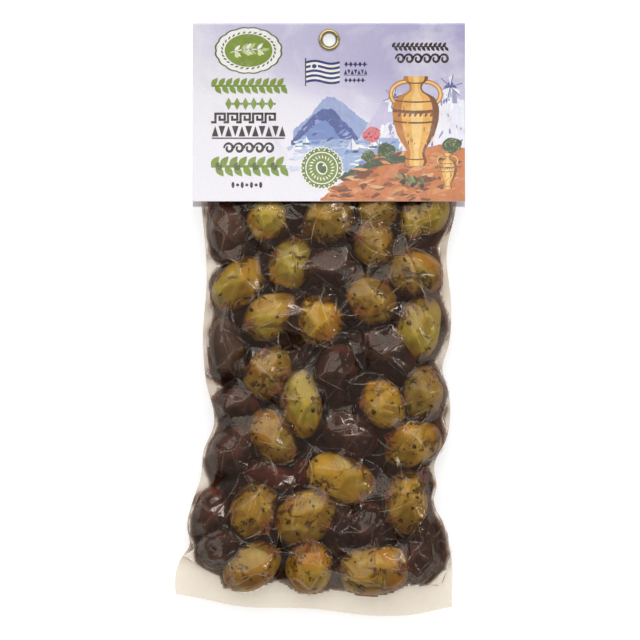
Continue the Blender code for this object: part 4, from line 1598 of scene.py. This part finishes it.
def jar(x, y, tall, wide, layer):
    """Tall clay jar with two handles, banded shoulder and brushed shading."""
    outline = [(0.0, 0.2), (0.06, 0.24), (0.1, 0.2), (0.35, 0.4), (0.55, 0.5), (0.7, 0.47), (0.78, 0.36),
               (0.82, 0.2), (0.92, 0.17), (0.96, 0.26), (1.0, 0.26)]
    light, pale, brown, dark = CLAY_TONES
    at = np.linspace(0.0, 1.0, 40)
    half = np.maximum(smooth_through(outline, at), 0.08) * wide
    for side in (-wide, wide):
        arc = np.linspace(0.0, math.pi, 13)
        path = list(zip(x + side * (0.2 + 0.34 * np.sin(arc)), y + tall * (0.8 - 0.14 * np.cos(arc))))
        stroke(path, wide * 0.1, brown, layer)
        stroke(path, wide * 0.045, pale, layer + 0.5)
    bands = ((-1.0, -0.62, brown), (-0.62, -0.2, light), (-0.2, 0.3, pale), (0.3, 0.72, light),
             (0.72, 1.0, dark))
    for k in range(len(at) - 1):
        for start, end, ink in bands:
            fill([(x + half[n] * share, y + at[n] * tall)
                  for n, share in ((k, start), (k, end), (k + 1, end), (k + 1, start))], ink, layer + 1)
    for share, thick in ((0.5, 0.02), (0.62, 0.035), (0.73, 0.016), (0.93, 0.014), (0.08, 0.014)):
        reach = float(np.interp(share, at, half))
        line = y + share * tall
        stroke(curve(x - reach, line, x + reach, line, -0.04), tall * thick, dark, layer + 2)
    for k in range(7):
        leaf(x + wide * (0.115 * k - 0.38), y + tall * 0.545, wide * 0.12, wide * 0.05, 60.0, dark, layer + 2)
    dabs(26, x - wide * 0.42, x + wide * 0.42, lambda _: y + tall * 0.2, lambda _: y + tall * 0.7, CLAY_TONES,
         layer + 2.2, 70, (0.8, 2.4), 80.0)


def windmill(x, y, size, layer):
    """Round white mill with a cap and slatted arms."""
    patch(x, y, size, [(-0.3, 0.0), (0.3, 0.0), (0.24, 0.7), (-0.24, 0.7)], CLIFF_TONES[3], layer)
    patch(x, y, size, [(0.08, 0.0), (0.3, 0.0), (0.24, 0.7), (0.08, 0.7)], CLIFF_TONES[2], layer + 0.5)
    patch(x, y, size, [(-0.3, 0.68), (0.3, 0.68), (0.0, 1.0)], HILL_TONES[1], layer + 0.5)
    blob(x - size * 0.06, y + size * 0.22, size * 0.12, size * 0.2, HILL_TONES[1], layer + 0.8)
    hub = (x, y + size * 0.72)
    for k in range(6):
        around = math.pi * k / 3.0 + 0.3
        tip = turned(*hub, size * 0.55, 0.0, around)
        stroke([hub, tip], size * 0.035, HILL_TONES[1], layer + 1.0)
        fill([hub, tip, turned(*hub, size * 0.42, 0.0, around + 0.42)], CLIFF_TONES[(k + 1) % 2], layer + 0.9)


def bush(x, y, size, tones, layer, seed):
    """Round crown of leaf dabs."""
    draw = np.random.default_rng(SEED + seed)
    blob(x, y, size * 1.9, size * 1.5, tones[1], layer, 0.0, 24, 0.12, seed)
    for k in range(34):
        around = draw.uniform(0.0, TURN)
        reach = size * math.sqrt(draw.uniform(0.0, 1.0))
        leaf(x + reach * math.cos(around), y + 0.75 * reach * math.sin(around), size * 0.36, size * 0.14,
             draw.uniform(0.0, 360.0), tones[draw.integers(len(tones))], layer + 0.4 + 0.01 * k)


def scenery():
    """Bay with a blue headland, pale cliffs, sails, clay jar and terracotta ground."""
    ridge(48.0, 88.0, [34.0, 41.0, 50.0, 47.0, 40.0, 36.0], (30.0, 30.0, 30.0), HILL_TONES[2], 1, 80)
    ridge(47.0, 79.0, [29.0, 37.0, 43.0, 44.0, 38.0, 31.0], (27.0, 26.0, 26.0), HILL_TONES[1], 2, 81)
    ridge(49.0, 70.0, [28.0, 33.0, 38.5, 38.0, 31.0], (26.0, 26.0, 26.0), HILL_TONES[0], 2.5, 82)
    dabs(40, 49.0, 78.0, lambda x: 28.0, lambda x: 42.0 - abs(x - 63.0) * 0.7,
         HILL_TONES, 3, 83, (1.2, 4.0), 24.0)
    ridge(49.0, 100.0, [28.0, 29.5, 30.0, 29.5, 30.5, 30.0], (27.5, 14.0, 18.0), SEA_TONES[0], 3, 84, 0.2)
    dabs(90, 48.0, 99.0, lambda x: max(16.0, 28.0 - (x - 48.0)), lambda x: 29.0,
         SEA_TONES + [PAPER], 3.2, 85, (1.6, 6.0), 0.0)
    dabs(34, 43.0, 62.0, lambda x: 14.0, lambda x: 27.0,
         [SEA_TONES[1], PAPER, (226, 228, 242)], 5.2, 96, (1.6, 5.0), 8.0)
    for x, y, size in ((76.0, 24.5, 6.0), (86.0, 26.5, 4.2), (54.0, 28.0, 3.4)):
        sail(x, y, size)
    ridge(80.0, 129.8, [31.0, 44.0, 52.0, 50.0, 56.0, 60.0, 58.0], (27.0, 25.0, 24.0),
          CLIFF_TONES[1], 1.5, 86, 0.8)
    ridge(84.0, 129.8, [29.0, 38.0, 40.0, 46.0, 50.0, 49.0], (26.0, 25.0, 24.0), CLIFF_TONES[0], 2.2, 87, 0.9)

    def over(x):
        return 31.0 + (x - 82.0) * 0.5

    dabs(90, 84.0, 129.6, lambda x: 25.0, over, CLIFF_TONES, 2.6, 88, (1.4, 5.0), 74.0)
    dabs(26, 86.0, 129.0, lambda x: 27.0, over, [(112, 118, 180), (146, 138, 190)], 4.6, 89, (1.0, 3.0), 82.0)
    ridge(61.0, 129.8, [1.0, 10.0, 19.0, 23.0, 25.0, 27.0, 26.0], (0.3, 0.2, 0.2),
          GROUND_TONES[0], 5, 90, 0.5)
    dabs(190, 64.0, 129.6, lambda x: 0.9, lambda x: min(3.0 + (x - 63.0) * 0.75, 23.0),
         GROUND_TONES, 5.3, 91, (2.0, 8.0), 8.0)
    ridge(70.0, 104.0, [12.0, 16.0, 19.0, 21.5, 22.0, 21.0], (10.5, 16.5, 19.0), FIELD_TONES[1], 8.6, 92, 0.6)
    windmill(96.0, 43.0, 9.5, 3.0)
    windmill(123.0, 47.0, 11.0, 3.0)
    bush(85.5, 32.0, 4.6, BLOSSOM_TONES, 4.8, 97)
    bush(84.0, 21.5, 3.6, FIELD_TONES, 8.8, 93)
    bush(92.5, 24.5, 4.6, FIELD_TONES, 8.8, 94)
    bush(123.5, 27.0, 4.8, FIELD_TONES, 8.8, 95)
    jar(106.5, 17.0, 43.0, 22.0, 9.4)
    jar(121.5, 6.0, 17.0, 9.0, 9.4)
    sprig(112.0, 9.0, 12.0, 168.0, 5, 4.0, FIELD_TONES, 12.0, (70, 54, 60))


def ornaments():
    """Rows of border ornament, the emblem, the flag and the seal."""
    emblem(26.7, 72.3)
    garland(9.0, 44.4, 51.6, 7.6, LEAF_GREEN, 2, 3.5)
    diamonds(15.2, 38.4, 43.8, 6.0, LEAF_GREEN, 2, 4.0)
    meander(10.4, 44.6, 37.4, 5.2, WORD_BROWN, 2)
    zigzag(9.2, 44.0, 30.0, 6.2, WORD_BROWN, 2, 3.2)
    scrolls(15.0, 38.6, 22.8, 5.4, WORD_BROWN, 2, 4.8)
    garland(9.0, 44.6, 12.0, 9.6, LEAF_GREEN, 2, 4.4)
    for x in np.arange(12.5, 44.0, 8.8):
        blob(x, 16.8, 3.2, 4.0, DEEP_GREEN, 3, 20.0)
        blob(x + 0.6, 17.9, 0.8, 0.8, PALE_GREEN, 4, count=8)
    for k, x in enumerate(np.arange(19.4, 34.6, 2.2)):
        blob(x, 7.9, 1.5, 1.5 if k % 2 else 3.0, WORD_BROWN, 2, count=12)
    flag(54.2, 56.8)
    diamonds(72.2, 83.0, 64.4, 2.6, ROW_BLUE, 2, 2.2)
    zigzag(72.2, 83.2, 60.4, 2.8, ROW_BLUE, 2, 1.6)
    diamonds(72.2, 83.0, 56.9, 2.4, ROW_BLUE, 2, 2.0)
    garland(95.2, 121.0, 72.0, 4.2, WORD_BROWN, 2, 2.2)
    scrolls(97.0, 121.0, 65.8, 5.0, WORD_BROWN, 2, 4.2)
    seal(61.6, 16.0)


def card_height(y):
    """Upper face of the front panel."""
    share = np.maximum((RAMP_START_Y - y) / (RAMP_START_Y - RAMP_END_Y), 0.0)
    rise = (3.0 * share ** 2 - share ** 3) / 2.0
    return CARD_LEVEL + (CARD_EDGE_Z - CARD_LEVEL) * rise + CARD_THICKNESS / 2.0


def make_print(material):
    """Every printed shape in one mesh that follows the card's front."""
    scenery()
    ornaments()
    shape = bmesh.new()
    ink_layer = shape.verts.layers.float_color.new("ink")
    lift_layer = shape.verts.layers.float.new("lift")
    draw = np.random.default_rng(SEED + 60)
    for points, ink, layer in SHAPES:
        shade = [channel * draw.uniform(*INK_SPREAD) for channel in linear(*ink)]
        triangles = tessellate_polygon([[Vector((x, y, 0.0)) for x, y in points]])
        corners = []
        for x, y in points:
            across = min(max(x, PRINT_MARGIN), CARD_WIDE - PRINT_MARGIN)
            corner = shape.verts.new((CARD_LEFT + across, CARD_FOOT + max(y, PRINT_MARGIN), 0.0))
            corner[ink_layer] = (*shade, 1.0)
            corner[lift_layer] = PRINT_LIFT + LAYER_LIFT * layer
            corners.append(corner)
        for triangle in triangles:
            first, second, third = (corners[k] for k in triangle)
            turn = (second.co - first.co).cross(third.co - first.co).z
            if abs(turn) > PRINT_SLIVER:
                shape.faces.new((first, second, third) if turn > 0.0 else (first, third, second))
    for y in np.arange(CARD_FOOT + PRINT_STEP, RAMP_START_Y, PRINT_STEP):
        bmesh.ops.bisect_plane(shape, geom=shape.verts[:] + shape.edges[:] + shape.faces[:],
                               plane_co=(0.0, float(y), 0.0), plane_no=(0.0, 1.0, 0.0))
    for corner in shape.verts:
        corner.co.z = float(card_height(corner.co.y)) + corner[lift_layer]
        corner.co *= MM
    mesh = bpy.data.meshes.new("card_print")
    shape.to_mesh(mesh)
    shape.free()
    piece = new_piece("card_print", mesh, material)
    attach(piece, "root")


def print_look():
    """Printing ink on coated card, with a brushed wash in each colour."""
    nodes = Nodes("print_ink")
    wash = nodes.noise(240.0, 4.0, 0.65, 0.8)
    ink = nodes.mottle(wash, 0.5, 0.8, nodes.colour("ink"), (0.9, 0.88, 0.86), 0.14)
    pool = nodes.ramp(nodes.noise(150.0, 3.0, 0.6, 0.5), [(0.5, 0.0), (0.75, 0.25)])
    ink = nodes.mix(pool, ink, linear(150, 128, 134), "MULTIPLY")
    grain = nodes.noise(1400.0, 2.0)
    ink = nodes.mix(0.08, ink, nodes.ramp(grain, [(0.3, 0.55), (0.7, 1.0)]), "MULTIPLY")
    return nodes.finish(Base_Color=ink, Roughness=0.42, Normal=nodes.bump(grain, 0.03, 0.0001))


# Stage, in metres and watts: name, place, size and power of each light.
SOFTBOXES = (("key", (-0.25, 0.85, 1.2), (2.0, 1.1), 14.0), ("strip", (0.25, 1.3, 0.9), (1.4, 0.07), 5.0),
             ("side", (1.15, -0.1, 1.0), (0.07, 1.1), 3.5))
LIGHT_AIM = (0.0, 0.0, 0.01)
WORLD_LIGHT = 0.4
FLOOR_TONE = 0.62
FLOOR_GLOW = 0.6
FLOOR_Z = -0.0002
FLOOR_REACH = 3.0
CAMERA_LENS = 471.0
CAMERA_SENSOR = 36.0
CAMERA_CLIP = 0.05
CAMERA_PLACE = (0.0, -0.00024, 4.0)


def make_stage():
    """Plain pale floor, soft studio light and the camera that looks straight down."""
    mesh = bpy.data.meshes.new("floor")
    shape = bmesh.new()
    bmesh.ops.create_grid(shape, x_segments=2, y_segments=2, size=FLOOR_REACH)
    shape.to_mesh(mesh)
    shape.free()
    nodes = Nodes("pale_floor")
    floor = new_piece("floor", mesh, nodes.finish(Base_Color=(FLOOR_TONE,) * 3, Roughness=0.9,
                                                  Emission_Color=(1.0, 1.0, 1.0), Emission_Strength=FLOOR_GLOW))
    floor.location.z = FLOOR_Z
    for name, place, size, power in SOFTBOXES:
        light = bpy.data.lights.new(name, "AREA")
        light.shape = "RECTANGLE"
        light.size, light.size_y = size
        light.energy = power
        lamp = new_object(name, light)
        lamp.location = place
        lamp.rotation_euler = (Vector(LIGHT_AIM) - Vector(place)).to_track_quat("-Z", "Y").to_euler()
    scene = bpy.context.scene
    scene.world = bpy.data.worlds.new("studio")
    scene.world.use_nodes = True
    background = scene.world.node_tree.nodes["Background"].inputs
    background["Color"].default_value = (1.0, 1.0, 1.0, 1.0)
    background["Strength"].default_value = WORLD_LIGHT
    camera = bpy.data.cameras.new("camera")
    camera.sensor_width = CAMERA_SENSOR
    camera.lens = CAMERA_LENS
    camera.clip_start = CAMERA_CLIP
    scene.camera = new_object("camera", camera)
    scene.camera.location = CAMERA_PLACE
    scene.camera.rotation_euler = (0.0, 0.0, 0.0)
    scene.view_settings.view_transform = "Standard"


make_stage()
GREEN_ROWS = [row for row in olive_rows() if not row[2]]
DARK_ROWS = [row for row in olive_rows() if row[2]]
make_olives("green_olives", GREEN_ROWS, green_skin(), SEED + 30)
make_olives("dark_olives", DARK_ROWS, dark_skin(), SEED + 31)
make_juice(juice_look())
make_herbs(herb_look())
make_film(film_look())
make_folds(fold_look())
for node, look in (("header_card", card_look()), ("eyelet", brass_look())):
    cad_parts[node].data.materials.clear()
    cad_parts[node].data.materials.append(look)
make_print(print_look())
